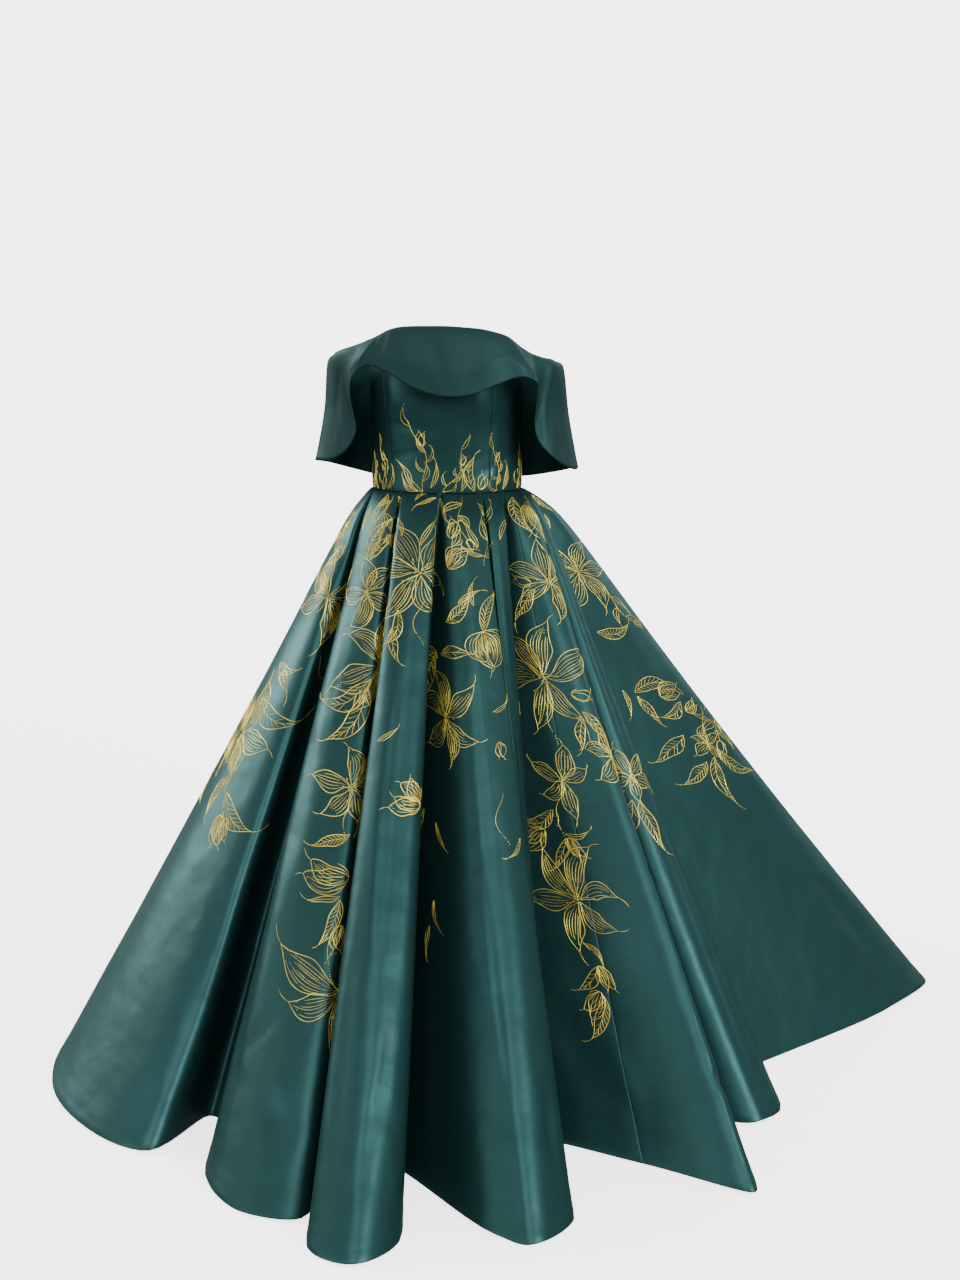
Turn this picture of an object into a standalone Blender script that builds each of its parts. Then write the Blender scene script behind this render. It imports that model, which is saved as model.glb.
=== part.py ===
# Off-shoulder ball gown, one reusable part.
#
# Frame: metres, +Z up, front towards -Y, wearer's left towards +X.
# The origin is the middle of the waist, where the wearer holds the gown up.
# Azimuth runs from the front (-Y) towards +X, in degrees.
# Every piece of cloth is a thin closed wall around an empty hollow.

import math
from collections import namedtuple

import bmesh
import bpy
import numpy as np

# Driving sizes

WALL = 0.0015            # cloth and lining of skirt and bodice, as one wall
COLLAR_WALL = 0.0016     # doubled cloth of the collar
SEAM_GAP = 0.0003        # between two pieces at a seam
HEM_DROP = 1.110         # from the waist down to the floor
HEM_CLEAR = 0.001        # hem above the floor

# Waist line: half width, depth to the front, depth to the back
WAIST_HALF_WIDTH = 0.1460
WAIST_FRONT = 0.1120
WAIST_BACK = 0.1000

# Skirt pleats at the waist
PLEAT_RISE = 0.0050      # how far a pleat's top stands out of the waist line
PLEAT_CROWN = 0.0015     # extra roundness in the middle of a pleat
PLEAT_DEPTH = 0.0110     # how far the crease between two pleats goes in
PLEAT_MOUTH = 2.1        # half the mouth of a crease, in degrees
PLEAT_BOTTOM = 1.0       # half the bottom of a crease, in degrees
PLEAT_PRESSED = 0.25     # share of those depths right at the waist seam
PLEAT_OPEN = 0.05        # share of the height over which the pleats open
HIP_SPRING = 0.036       # share of the flare that comes at once below the waist
HIP_RATE = 0.030         # share of the height within which it comes
HIP_SIDE = 0.30          # how much fuller the wearer's left hip springs
SKIRT_LEVELS = (0.0, 0.022, 0.06, 0.14, 0.28, 0.48, 0.72, 1.0)
FOLD_STEPS = (3, 3, 2, 2, 2)  # columns from each named point of a fold

# The folds of the skirt, one row a fold, going round towards +X.
# Left and right are a fold's shoulders as seen from outside, nose is its
# crest, valley is the bottom of the hollow after it. Each has an azimuth in
# degrees and a reach in metres at the hem; valley_half is half the valley's
# width in degrees. The last column is the azimuth of the crease after the
# fold at the waist.
Fold = namedtuple(
    "Fold",
    "name left_az left_reach nose_az nose_reach right_az right_reach"
    " valley_az valley_reach valley_half waist_crease",
)
FOLDS = (
    Fold("a", -76.0, 0.768, -55.5, 0.811, -35.8, 0.758, -36.9, 0.605, 1.6, -68.0),
    Fold("b", -25.6, 0.752, -17.5, 0.816, -9.2, 0.806, -8.5, 0.655, 1.1, -30.0),
    Fold("c", -6.8, 0.880, -1.4, 0.916, 2.7, 0.842, -1.4, 0.618, 1.0, 1.2),
    Fold("d", 13.2, 0.828, 17.2, 0.861, 22.6, 0.803, 23.2, 0.738, 0.2, 32.0),
    Fold("d_small", 23.5, 0.712, 23.9, 0.680, 24.3, 0.645, 24.9, 0.548, 1.0, 53.0),
    Fold("e", 37.0, 0.693, 44.2, 0.868, 48.2, 0.772, 53.6, 0.652, 1.3, 84.0),
    Fold("f", 58.0, 0.722, 62.8, 0.739, 67.3, 0.713, 70.6, 0.615, 1.4, 99.0),
    Fold("g", 99.0, 0.912, 107.6, 1.062, 112.2, 0.985, 117.0, 0.775, 1.5, 121.0),
    Fold("h", 120.4, 0.900, 126.0, 1.005, 132.0, 0.935, 136.0, 0.760, 1.6, 142.0),
    Fold("i", 140.5, 0.925, 150.5, 1.050, 158.5, 0.975, 163.0, 0.795, 1.5, 167.0),
    Fold("j", 168.0, 0.960, 180.0, 1.062, 190.5, 0.980, 193.5, 0.800, 1.4, 193.0),
    Fold("k", 196.5, 0.910, 202.0, 1.000, 208.0, 0.925, 211.0, 0.755, 1.6, 209.0),
    Fold("l", 214.5, 0.895, 223.0, 0.975, 231.0, 0.895, 234.5, 0.720, 1.6, 229.0),
    Fold("m", 238.0, 0.815, 244.0, 0.862, 250.5, 0.815, 254.0, 0.650, 1.8, 246.0),
    Fold("n", 258.0, 0.750, 266.0, 0.768, 272.0, 0.735, 276.5, 0.620, 1.6, 262.0),
)

# Where the skirt panels are sewn: the fold, and the column counted from that
# fold's first one. The order goes round from the front panel's right seam.
PanelSeam = namedtuple("PanelSeam", "fold column")
SKIRT_SEAMS = (
    PanelSeam("a", 9),
    PanelSeam("e", 0),
    PanelSeam("g", 9),
    PanelSeam("j", 3),
    PanelSeam("m", 9),
)
CENTRE_BACK_SEAM = SKIRT_SEAMS[3]
SKIRT_PANELS = (
    "skirt_front",
    "skirt_side_left",
    "skirt_back_left",
    "skirt_back_right",
    "skirt_side_right",
)

# Bodice, one row a level: height, half width, depth to front and to back,
# and how much the cups push out at 33 degrees either side of the front.
BodiceLevel = namedtuple("BodiceLevel", "height half_width front back cup")
BODICE_LEVELS = (
    BodiceLevel(0.000, 0.1460, 0.1120, 0.1000, 0.0000),
    BodiceLevel(0.060, 0.1452, 0.1125, 0.1005, 0.0010),
    BodiceLevel(0.120, 0.1458, 0.1180, 0.1030, 0.0060),
    BodiceLevel(0.170, 0.1470, 0.1240, 0.1065, 0.0120),
    BodiceLevel(0.215, 0.1478, 0.1265, 0.1095, 0.0115),
    BodiceLevel(0.260, 0.1475, 0.1235, 0.1115, 0.0060),
    BodiceLevel(0.310, 0.1455, 0.1175, 0.1125, 0.0010),
)
BODICE_ROWS = 8
BODICE_STEP = 8.0        # degrees a column
CUP_AZ = 33.0
CUP_WIDTH = 20.0
TOP_FRONT = 0.288        # height of the bodice's top edge, front, side, back
TOP_SIDE = 0.222
TOP_BACK = 0.241
TOP_FRONT_AZ = 45.0      # the front height holds as far round as this
TOP_BACK_AZ = 135.0      # and the back height from here on
PRINCESS_AZ = 40.0       # princess seams at the waist
PRINCESS_LEAN = 1.0      # how far they move to the sides up at the top
SIDE_AZ = 95.0

# Collar, one row a station, from the centre back round the right arm, the
# front and the left arm. Crest is the rolled top edge, hem the lower edge.
Station = namedtuple("Station", "name crest_x crest_y crest_z hem_x hem_y hem_z")
COLLAR = (
    Station("back", 0.000, 0.1240, 0.259, 0.000, 0.166, 0.006),
    Station("back_r", -0.066, 0.1190, 0.258, -0.084, 0.158, 0.004),
    Station("shoulder_blade_r", -0.122, 0.1030, 0.255, -0.150, 0.137, 0.008),
    Station("arm_back_r", -0.172, 0.0790, 0.251, -0.206, 0.108, 0.024),
    Station("arm_back_low_r", -0.202, 0.0505, 0.249, -0.244, 0.062, 0.040),
    Station("arm_side_r", -0.217, 0.0200, 0.248, -0.257, 0.004, 0.049),
    Station("arm_outer_r", -0.220, -0.0100, 0.249, -0.247, -0.046, 0.054),
    Station("arm_front_r", -0.215, -0.0370, 0.252, -0.210, -0.080, 0.060),
    Station("arm_inner_r", -0.206, -0.0550, 0.256, -0.176, -0.095, 0.081),
    Station("turn_low_r", -0.198, -0.0690, 0.261, -0.159, -0.100, 0.112),
    Station("turn_mid_r", -0.184, -0.0800, 0.266, -0.161, -0.103, 0.140),
    Station("turn_r", -0.170, -0.0890, 0.270, -0.167, -0.108, 0.173),
    Station("turn_high_r", -0.155, -0.0970, 0.275, -0.166, -0.114, 0.205),
    Station("arch_low_r", -0.140, -0.1040, 0.280, -0.154, -0.120, 0.226),
    Station("arch_r", -0.122, -0.1110, 0.287, -0.130, -0.127, 0.238),
    Station("front_r", -0.088, -0.1195, 0.303, -0.090, -0.142, 0.226),
    Station("front_mid_r", -0.044, -0.1250, 0.309, -0.040, -0.155, 0.199),
    Station("front", 0.000, -0.1270, 0.309, 0.016, -0.160, 0.183),
    Station("front_mid_l", 0.046, -0.1250, 0.307, 0.070, -0.158, 0.187),
    Station("front_l", 0.090, -0.1195, 0.302, 0.113, -0.147, 0.204),
    Station("arch_l", 0.124, -0.1110, 0.293, 0.148, -0.134, 0.217),
    Station("arch_low_l", 0.142, -0.1035, 0.281, 0.171, -0.127, 0.217),
    Station("turn_high_l", 0.156, -0.0965, 0.269, 0.186, -0.120, 0.206),
    Station("turn_l", 0.170, -0.0885, 0.260, 0.188, -0.112, 0.181),
    Station("turn_mid_l", 0.184, -0.0795, 0.254, 0.182, -0.105, 0.151),
    Station("turn_low_l", 0.197, -0.0695, 0.250, 0.180, -0.101, 0.121),
    Station("arm_inner_l", 0.208, -0.0570, 0.247, 0.190, -0.098, 0.094),
    Station("arm_front_l", 0.213, -0.0400, 0.243, 0.216, -0.085, 0.066),
    Station("arm_outer_l", 0.218, -0.0120, 0.240, 0.247, -0.050, 0.043),
    Station("arm_side_l", 0.215, 0.0180, 0.239, 0.255, -0.004, 0.041),
    Station("arm_back_low_l", 0.199, 0.0500, 0.239, 0.245, 0.056, 0.036),
    Station("arm_back_l", 0.170, 0.0780, 0.244, 0.208, 0.103, 0.024),
    Station("shoulder_blade_l", 0.122, 0.1025, 0.251, 0.152, 0.135, 0.012),
    Station("back_l", 0.066, 0.1190, 0.257, 0.086, 0.158, 0.006),
)
COLLAR_WIDE = 0.230      # half width and half depth of the collar from above
COLLAR_DEEP = 0.125
COLLAR_STEPS = 2         # columns between two stations
COLLAR_FREE_AZ = 60.0    # from here round the arm the collar is off the bodice
COLLAR_FADE_AZ = 22.0    # over these degrees before that it leaves the bodice
COLLAR_TURN_IN = 0.013   # depth of the turned-in top edge over the arms
COLLAR_ROLL = 0.0070     # half the thickness of the rolled top edge
COLLAR_SHOULDER = 0.0063  # how far out the roll goes, just under the crest
COLLAR_SHOULDER_DROP = 0.006
COLLAR_RISE_IN = 0.0018  # how far in the inner leaf bows on its way up
COLLAR_RISE_SHARE = 0.65  # where on its way up it does
COLLAR_BELLY = 0.006     # outward bow of the collar halfway down, front and back
COLLAR_ARM_BELLY = -0.003  # and over the arms
COLLAR_SPAN_STEPS = 4    # steps between two named points of the section
COLLAR_PICKS = (0, 3, 6, 8, 10, 12, 15, 18, 20)  # the ones that are kept
COLLAR_SEAM_STATIONS = ("arm_side_r", "arm_side_l")

# Concealed zip at the centre back
TAPE_WIDTH = 0.022
TAPE_THICK = 0.0006
TAPE_IN = 0.0018         # tape behind the cloth's inner face
TAPE_HEIGHTS = (0.236, 0.190, 0.143, 0.092, 0.043, 0.0)
TAPE_SKIRT_ROWS = 3      # how many rows of the skirt the tape goes down

SLIDER_WIDTH = 0.0060
SLIDER_HEIGHT = 0.0090
SLIDER_THICK = 0.0018
SLIDER_TOP = 0.2300
LUG_THICK = 0.0009
LUG_HALF_GAP = 0.0016    # half the space between the two lugs
LUG_REACH = 0.0030       # how far the lugs stand off the slider plate
LUG_HALF_HEIGHT = 0.0013
PIN_HEIGHT = 0.2266      # height of the pin on which the pull swings
PIN_REACH = 0.0020       # from the slider plate out to the pin
PIN_RADIUS = 0.0005
PULL_WIDTH = 0.0046
PULL_EYE_WIDTH = 0.0024
PULL_NECK = 0.0040       # from the pin down to where the tab widens
PULL_LENGTH = 0.0150
PULL_THICK = 0.0009
EYE_INNER = 0.0008
EYE_OUTER = 0.0015
ROUND_SIDES = 14

Finish = namedtuple("Finish", "name colour roughness metallic")
SATIN = (0.022, 0.082, 0.076)


def smooth_step(value):
    """Ease from 0 to 1."""
    clipped = min(1.0, max(0.0, value))
    return clipped * clipped * (3.0 - 2.0 * clipped)


def polar(azimuth, reach):
    """Plan point at an azimuth in degrees and a reach from the axis."""
    angle = math.radians(azimuth)
    return np.array([reach * math.sin(angle), -reach * math.cos(angle)])


def spline(points, steps, closed):
    """Smooth curve through points; steps are taken in turn for the spans."""
    points = np.asarray(points, dtype=float)
    count = len(points)
    spans = count if closed else count - 1
    result = []
    for span in range(spans):
        parts = steps[span % len(steps)]
        if closed:
            p0, p1, p2, p3 = (points[(span + k) % count] for k in (-1, 0, 1, 2))
        else:
            p1 = points[span]
            p2 = points[span + 1]
            p0 = points[span - 1] if span > 0 else 2 * p1 - p2
            p3 = points[span + 2] if span + 2 < count else 2 * p2 - p1
        t0 = 0.0
        t1 = t0 + max(1e-6, np.linalg.norm(p1 - p0)) ** 0.5
        t2 = t1 + max(1e-6, np.linalg.norm(p2 - p1)) ** 0.5
        t3 = t2 + max(1e-6, np.linalg.norm(p3 - p2)) ** 0.5
        for step in range(parts):
            t = t1 + (t2 - t1) * step / parts
            a1 = (t1 - t) / (t1 - t0) * p0 + (t - t0) / (t1 - t0) * p1
            a2 = (t2 - t) / (t2 - t1) * p1 + (t - t1) / (t2 - t1) * p2
            a3 = (t3 - t) / (t3 - t2) * p2 + (t - t2) / (t3 - t2) * p3
            b1 = (t2 - t) / (t2 - t0) * a1 + (t - t0) / (t2 - t0) * a2
            b2 = (t3 - t) / (t3 - t1) * a2 + (t - t1) / (t3 - t1) * a3
            result.append((t2 - t) / (t2 - t1) * b1 + (t - t1) / (t2 - t1) * b2)
    if not closed:
        result.append(points[-1])
    return np.array(result)


def oval(azimuth, half_width, front, back):
    """Plan point of an oval body section; the parameter is an azimuth."""
    angle = math.radians(azimuth)
    depth = front if math.cos(angle) > 0.0 else back
    return np.array([half_width * math.sin(angle), -depth * math.cos(angle)])


def waist_point(azimuth, out):
    """Point of the waist line at an azimuth, moved out by a distance."""
    base = oval(azimuth, WAIST_HALF_WIDTH, WAIST_FRONT, WAIST_BACK)
    ahead = oval(azimuth + 0.5, WAIST_HALF_WIDTH, WAIST_FRONT, WAIST_BACK)
    along = ahead - base
    along /= np.linalg.norm(along)
    return base + out * np.array([along[1], -along[0]])


def fold_hem_points():
    """Named hem points, five for each fold, as plan points."""
    points = []
    for fold in FOLDS:
        points.append(polar(fold.left_az, fold.left_reach))
        points.append(polar(fold.nose_az, fold.nose_reach))
        points.append(polar(fold.right_az, fold.right_reach))
        points.append(polar(fold.valley_az - fold.valley_half, fold.valley_reach))
        points.append(polar(fold.valley_az + fold.valley_half, fold.valley_reach))
    return points


def fold_waist_points():
    """Named waist points, five for each fold: azimuth and out distance."""
    points = []
    for index, fold in enumerate(FOLDS):
        before = FOLDS[index - 1].waist_crease
        if before > fold.waist_crease:
            before -= 360.0
        left = before + PLEAT_MOUTH
        right = fold.waist_crease - PLEAT_MOUTH
        points.append((left, PLEAT_RISE))
        points.append((0.5 * (left + right), PLEAT_RISE + PLEAT_CROWN))
        points.append((right, PLEAT_RISE))
        points.append((fold.waist_crease - PLEAT_BOTTOM, -PLEAT_DEPTH))
        points.append((fold.waist_crease + PLEAT_BOTTOM, -PLEAT_DEPTH))
    return points


def skirt_curves():
    """Hem curve, flat waist line and full pleats, column by column."""
    hem = spline(fold_hem_points(), FOLD_STEPS, True)
    named = fold_waist_points()
    full = spline([waist_point(az, out) for az, out in named], FOLD_STEPS, True)
    flat = spline([waist_point(az, 0.0) for az, out in named], FOLD_STEPS, True)
    return hem, flat, full


def skirt_surface(levels):
    """Outer face of the whole skirt as rows of points, waist to hem."""
    hem, flat, full = skirt_curves()
    rows = []
    for level in levels:
        opened = PLEAT_PRESSED + (1.0 - PLEAT_PRESSED) * smooth_step(level / PLEAT_OPEN)
        waist = flat + (full - flat) * opened
        spring = HIP_SPRING * (1.0 - math.exp(-level / HIP_RATE)) * (1.0 - level) ** 3
        sideways = flat[:, :1] / WAIST_HALF_WIDTH
        share = level + spring * (1.0 + HIP_SIDE * sideways)
        plan = waist * (1.0 - share) + hem * share
        top = -SEAM_GAP
        bottom = -HEM_DROP + HEM_CLEAR
        height = np.full((len(plan), 1), top + (bottom - top) * level)
        rows.append(np.hstack([plan, height]))
    return np.array(rows)


def grid_normals(grid, closed):
    """Unit normals of a grid of rows and columns."""
    if closed:
        ahead = np.roll(grid, -1, axis=1) - np.roll(grid, 1, axis=1)
    else:
        ahead = np.gradient(grid, axis=1)
    down = np.gradient(grid, axis=0)
    normals = np.cross(down, ahead)
    length = np.linalg.norm(normals, axis=2, keepdims=True)
    return normals / np.maximum(length, 1e-12)


def trim_sides(grid, gap):
    """Move the first and last column in by half a seam gap."""
    trimmed = grid.copy()
    for edge, inside in ((0, 1), (-1, -2)):
        along = grid[:, inside] - grid[:, edge]
        along /= np.linalg.norm(along, axis=1, keepdims=True)
        trimmed[:, edge] = grid[:, edge] + along * gap / 2.0
    return trimmed


def add_body(name, vertices, faces, finish):
    """Make one named object with its own material."""
    mesh = bpy.data.meshes.new(name)
    mesh.from_pydata([tuple(float(c) for c in v) for v in vertices], [], faces)
    mesh.validate()
    mesh.update()
    material = bpy.data.materials.new(name + "_finish")
    material.use_nodes = True
    shader = material.node_tree.nodes["Principled BSDF"]
    shader.inputs["Base Color"].default_value = (*finish.colour, 1.0)
    shader.inputs["Roughness"].default_value = finish.roughness
    shader.inputs["Metallic"].default_value = finish.metallic
    mesh.materials.append(material)
    body = bpy.data.objects.new(name, mesh)
    bpy.context.scene.collection.objects.link(body)
    return body


def quad(a, b, c, d, vertices):
    """Two triangles for a quad, split along its shorter diagonal."""
    first = np.linalg.norm(vertices[a] - vertices[c])
    second = np.linalg.norm(vertices[b] - vertices[d])
    if first <= second:
        return [(a, b, c), (a, c, d)]
    return [(a, b, d), (b, c, d)]


def add_cloth(name, outer, inner, finish):
    """Closed wall between an outer and an inner grid of the same size."""
    rows, columns, _ = outer.shape
    vertices = np.vstack([outer.reshape(-1, 3), inner.reshape(-1, 3)])
    half = rows * columns
    faces = []
    for row in range(rows - 1):
        for column in range(columns - 1):
            a = row * columns + column
            b = a + columns
            faces += quad(a, b, b + 1, a + 1, vertices)
            faces += quad(half + a, half + a + 1, half + b + 1, half + b, vertices)
    border = [(0, c) for c in range(columns)]
    border += [(r, columns - 1) for r in range(1, rows)]
    border += [(rows - 1, c) for c in range(columns - 2, -1, -1)]
    border += [(r, 0) for r in range(rows - 2, 0, -1)]
    for index, (row, column) in enumerate(border):
        next_row, next_column = border[(index + 1) % len(border)]
        a = row * columns + column
        b = next_row * columns + next_column
        faces += quad(a, b, half + b, half + a, vertices)
    return add_body(name, vertices, faces, finish)


def fold_column(fold_name, column):
    """Index of a column of the skirt, counted from a fold's first one."""
    names = [fold.name for fold in FOLDS]
    return names.index(fold_name) * sum(FOLD_STEPS) + column


def add_skirt(finish):
    """The five panels of the skirt."""
    outer = skirt_surface(SKIRT_LEVELS)
    inner = outer - grid_normals(outer, True) * WALL
    inner[0, :, 2] = outer[0, :, 2]
    inner[-1, :, 2] = outer[-1, :, 2]
    total = outer.shape[1]
    seams = [fold_column(seam.fold, seam.column) for seam in SKIRT_SEAMS]
    for index, name in enumerate(SKIRT_PANELS):
        start = seams[index]
        end = seams[(index + 1) % len(seams)]
        if end <= start:
            end += total
        columns = [column % total for column in range(start, end + 1)]
        add_cloth(
            name,
            trim_sides(outer[:, columns], SEAM_GAP),
            trim_sides(inner[:, columns], SEAM_GAP),
            finish,
        )


def bodice_point(azimuth, height):
    """Outer face of the bodice at an azimuth and a height."""
    heights = [level.height for level in BODICE_LEVELS]
    half_width = np.interp(height, heights, [lv.half_width for lv in BODICE_LEVELS])
    front = np.interp(height, heights, [lv.front for lv in BODICE_LEVELS])
    back = np.interp(height, heights, [lv.back for lv in BODICE_LEVELS])
    cup = np.interp(height, heights, [lv.cup for lv in BODICE_LEVELS])
    folded = abs((azimuth + 180.0) % 360.0 - 180.0)
    push = cup * math.exp(-(((folded - CUP_AZ) / CUP_WIDTH) ** 2))
    plan = oval(azimuth, half_width, front, back)
    plan = plan * (1.0 + push / np.linalg.norm(plan))
    return np.array([plan[0], plan[1], height])


def bodice_top(azimuth):
    """Height of the bodice's top edge at an azimuth."""
    folded = abs((azimuth + 180.0) % 360.0 - 180.0)
    if folded < 90.0:
        ease = smooth_step((folded - TOP_FRONT_AZ) / (90.0 - TOP_FRONT_AZ))
        return TOP_FRONT + (TOP_SIDE - TOP_FRONT) * ease
    ease = smooth_step((folded - 90.0) / (TOP_BACK_AZ - 90.0))
    return TOP_SIDE + (TOP_BACK - TOP_SIDE) * ease


def princess_az(share):
    """Azimuth of a princess seam at a share of the bodice's height."""
    return PRINCESS_AZ + PRINCESS_LEAN * smooth_step(share)


def bodice_normal(azimuth, height):
    """Unit outward normal of the bodice."""
    step = 0.002
    along = bodice_point(azimuth + 1.0, height) - bodice_point(azimuth - 1.0, height)
    up = bodice_point(azimuth, height + step) - bodice_point(azimuth, height - step)
    normal = np.cross(along, up)
    return normal / np.linalg.norm(normal)


def bodice_panel(start, end):
    """Outer and inner grid between two seams, given by share of height."""
    width = abs(end(0.0) - start(0.0))
    columns = max(3, int(round(width / BODICE_STEP)) + 1)
    outer = []
    inner = []
    for row in range(BODICE_ROWS):
        share = 1.0 - row / (BODICE_ROWS - 1)
        outer_line = []
        inner_line = []
        for column in range(columns):
            part = column / (columns - 1)
            azimuth = start(share) * (1.0 - part) + end(share) * part
            height = bodice_top(azimuth) * share
            point = bodice_point(azimuth, height)
            behind = point - bodice_normal(azimuth, height) * WALL
            behind[2] = height
            outer_line.append(point)
            inner_line.append(behind)
        outer.append(outer_line)
        inner.append(inner_line)
    return np.array(outer), np.array(inner)


def add_bodice(finish):
    """Front, side front and back panels of the bodice."""
    lines = {
        "princess_r": lambda share: -princess_az(share),
        "princess_l": lambda share: princess_az(share),
        "side_l": lambda share: SIDE_AZ,
        "side_r": lambda share: 360.0 - SIDE_AZ,
        "back": lambda share: 180.0,
        "princess_r_round": lambda share: 360.0 - princess_az(share),
    }
    panels = (
        ("bodice_front", "princess_r", "princess_l"),
        ("bodice_side_front_left", "princess_l", "side_l"),
        ("bodice_back_left", "side_l", "back"),
        ("bodice_back_right", "back", "side_r"),
        ("bodice_side_front_right", "side_r", "princess_r_round"),
    )
    for name, start, end in panels:
        outer, inner = bodice_panel(lines[start], lines[end])
        add_cloth(name, trim_sides(outer, SEAM_GAP), trim_sides(inner, SEAM_GAP), finish)


def collar_profile(crest, hem):
    """Named points of the collar's section at one place, inner end to hem."""
    azimuth = math.degrees(math.atan2(crest[0], -crest[1]))
    folded = abs(azimuth)
    outward = np.array([crest[0] / COLLAR_WIDE**2, crest[1] / COLLAR_DEEP**2, 0.0])
    outward /= np.linalg.norm(outward)
    body_az = math.degrees(math.atan2(crest[0] / WAIST_HALF_WIDTH, -crest[1] / WAIST_FRONT))
    seat = bodice_point(body_az, bodice_top(body_az))
    seat[2] += SEAM_GAP
    free = crest - outward * COLLAR_ROLL
    free[2] -= COLLAR_TURN_IN
    start = COLLAR_FREE_AZ - COLLAR_FADE_AZ
    off_front = smooth_step((folded - start) / COLLAR_FADE_AZ)
    off_back = smooth_step((180.0 - folded - start) / COLLAR_FADE_AZ)
    off = min(off_front, off_back)
    inner_end = seat * (1.0 - off) + free * off
    rise = 0.5 * (inner_end + crest) - outward * COLLAR_RISE_IN
    rise[2] = inner_end[2] + COLLAR_RISE_SHARE * (crest[2] - inner_end[2])
    shoulder = crest + outward * COLLAR_SHOULDER
    shoulder[2] -= COLLAR_SHOULDER_DROP
    side = outward[0] ** 2
    bow = COLLAR_BELLY * (1.0 - side) + COLLAR_ARM_BELLY * side
    middle = 0.5 * (shoulder + hem) + outward * bow
    return [inner_end, rise, crest, shoulder, middle, hem]


def collar_surface():
    """Hollow side of the whole collar, rows from the inner end to the hem."""
    crests = spline([(s.crest_x, s.crest_y, s.crest_z) for s in COLLAR], (COLLAR_STEPS,), True)
    hems = spline([(s.hem_x, s.hem_y, s.hem_z) for s in COLLAR], (COLLAR_STEPS,), True)
    columns = []
    for crest, hem in zip(crests, hems):
        section = spline(collar_profile(crest, hem), (COLLAR_SPAN_STEPS,), False)
        columns.append(section[list(COLLAR_PICKS)])
    return np.array(columns).transpose(1, 0, 2)


def add_collar(finish):
    """The collar: one front piece and two back pieces.

    The stations go round the other way than the skirt's folds, so each
    piece's columns are turned round to make its faces point outwards.
    """
    hollow_side = collar_surface()
    shown_side = hollow_side + grid_normals(hollow_side, True) * COLLAR_WALL
    total = hollow_side.shape[1]
    names = [station.name for station in COLLAR]
    right, left = (names.index(name) * COLLAR_STEPS for name in COLLAR_SEAM_STATIONS)
    pieces = (
        ("collar_back_right", 0, right),
        ("collar_front", right, left),
        ("collar_back_left", left, total),
    )
    for name, start, end in pieces:
        columns = [column % total for column in range(start, end + 1)]
        add_cloth(
            name,
            trim_sides(hollow_side[:, columns], SEAM_GAP)[:, ::-1],
            trim_sides(shown_side[:, columns], SEAM_GAP)[:, ::-1],
            finish,
        )


def offset_profile(points, distance):
    """Move a (depth, height) line inwards by a distance, corners mitred."""
    points = np.array(points)
    along = np.diff(points, axis=0)
    along /= np.linalg.norm(along, axis=1, keepdims=True)
    normals = np.stack([along[:, 1], -along[:, 0]], axis=1)
    first = np.vstack([normals[:1], normals])
    second = np.vstack([normals, normals[-1:]])
    middle = first + second
    middle /= np.linalg.norm(middle, axis=1, keepdims=True)
    stretch = np.sum(middle * first, axis=1, keepdims=True)
    return points + middle * distance / stretch


def add_zip_tape(finish):
    """Tape behind the centre back opening, on both sides of the waist."""
    profile = [(bodice_point(180.0, h)[1], h) for h in TAPE_HEIGHTS]
    column = fold_column(CENTRE_BACK_SEAM.fold, CENTRE_BACK_SEAM.column)
    line = skirt_surface(SKIRT_LEVELS)[1 : TAPE_SKIRT_ROWS + 1, column]
    profile += [(point[1], point[2]) for point in line]
    half = TAPE_WIDTH / 2
    across = (half, half / 3, -half / 3, -half)
    faces = []
    for distance in (WALL + TAPE_IN, WALL + TAPE_IN + TAPE_THICK):
        moved = offset_profile(profile, distance)
        faces.append(np.array([[(x, y, z) for x in across] for y, z in moved]))
    add_cloth("zip_tape", faces[0], faces[1], finish)


def box(name, low, high):
    """A plain box as a helper for a Boolean."""
    corners = [
        (x, y, z)
        for x in (low[0], high[0])
        for y in (low[1], high[1])
        for z in (low[2], high[2])
    ]
    faces = (
        (0, 1, 3, 2),
        (4, 6, 7, 5),
        (0, 4, 5, 1),
        (2, 3, 7, 6),
        (0, 2, 6, 4),
        (1, 5, 7, 3),
    )
    return helper(name, corners, faces)


def rod(name, half_length, depth, height, radius):
    """A round rod along X as a helper for a Boolean."""
    vertices = []
    for x in (-half_length, half_length):
        for side in range(ROUND_SIDES):
            turn = 2.0 * math.pi * side / ROUND_SIDES
            vertices.append(
                (x, depth + radius * math.cos(turn), height + radius * math.sin(turn))
            )
    faces = [tuple(range(ROUND_SIDES))[::-1]]
    faces.append(tuple(range(ROUND_SIDES, 2 * ROUND_SIDES)))
    for side in range(ROUND_SIDES):
        after = (side + 1) % ROUND_SIDES
        faces.append((side, after, after + ROUND_SIDES, side + ROUND_SIDES))
    return helper(name, vertices, faces)


def helper(name, vertices, faces):
    """A hidden helper solid with its faces outward."""
    mesh = bpy.data.meshes.new(name)
    mesh.from_pydata(vertices, [], faces)
    solid = bmesh.new()
    solid.from_mesh(mesh)
    bmesh.ops.recalc_face_normals(solid, faces=solid.faces)
    solid.to_mesh(mesh)
    solid.free()
    body = bpy.data.objects.new(name, mesh)
    body.hide_render = True
    body.display_type = "WIRE"
    bpy.context.scene.collection.objects.link(body)
    return body


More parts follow.
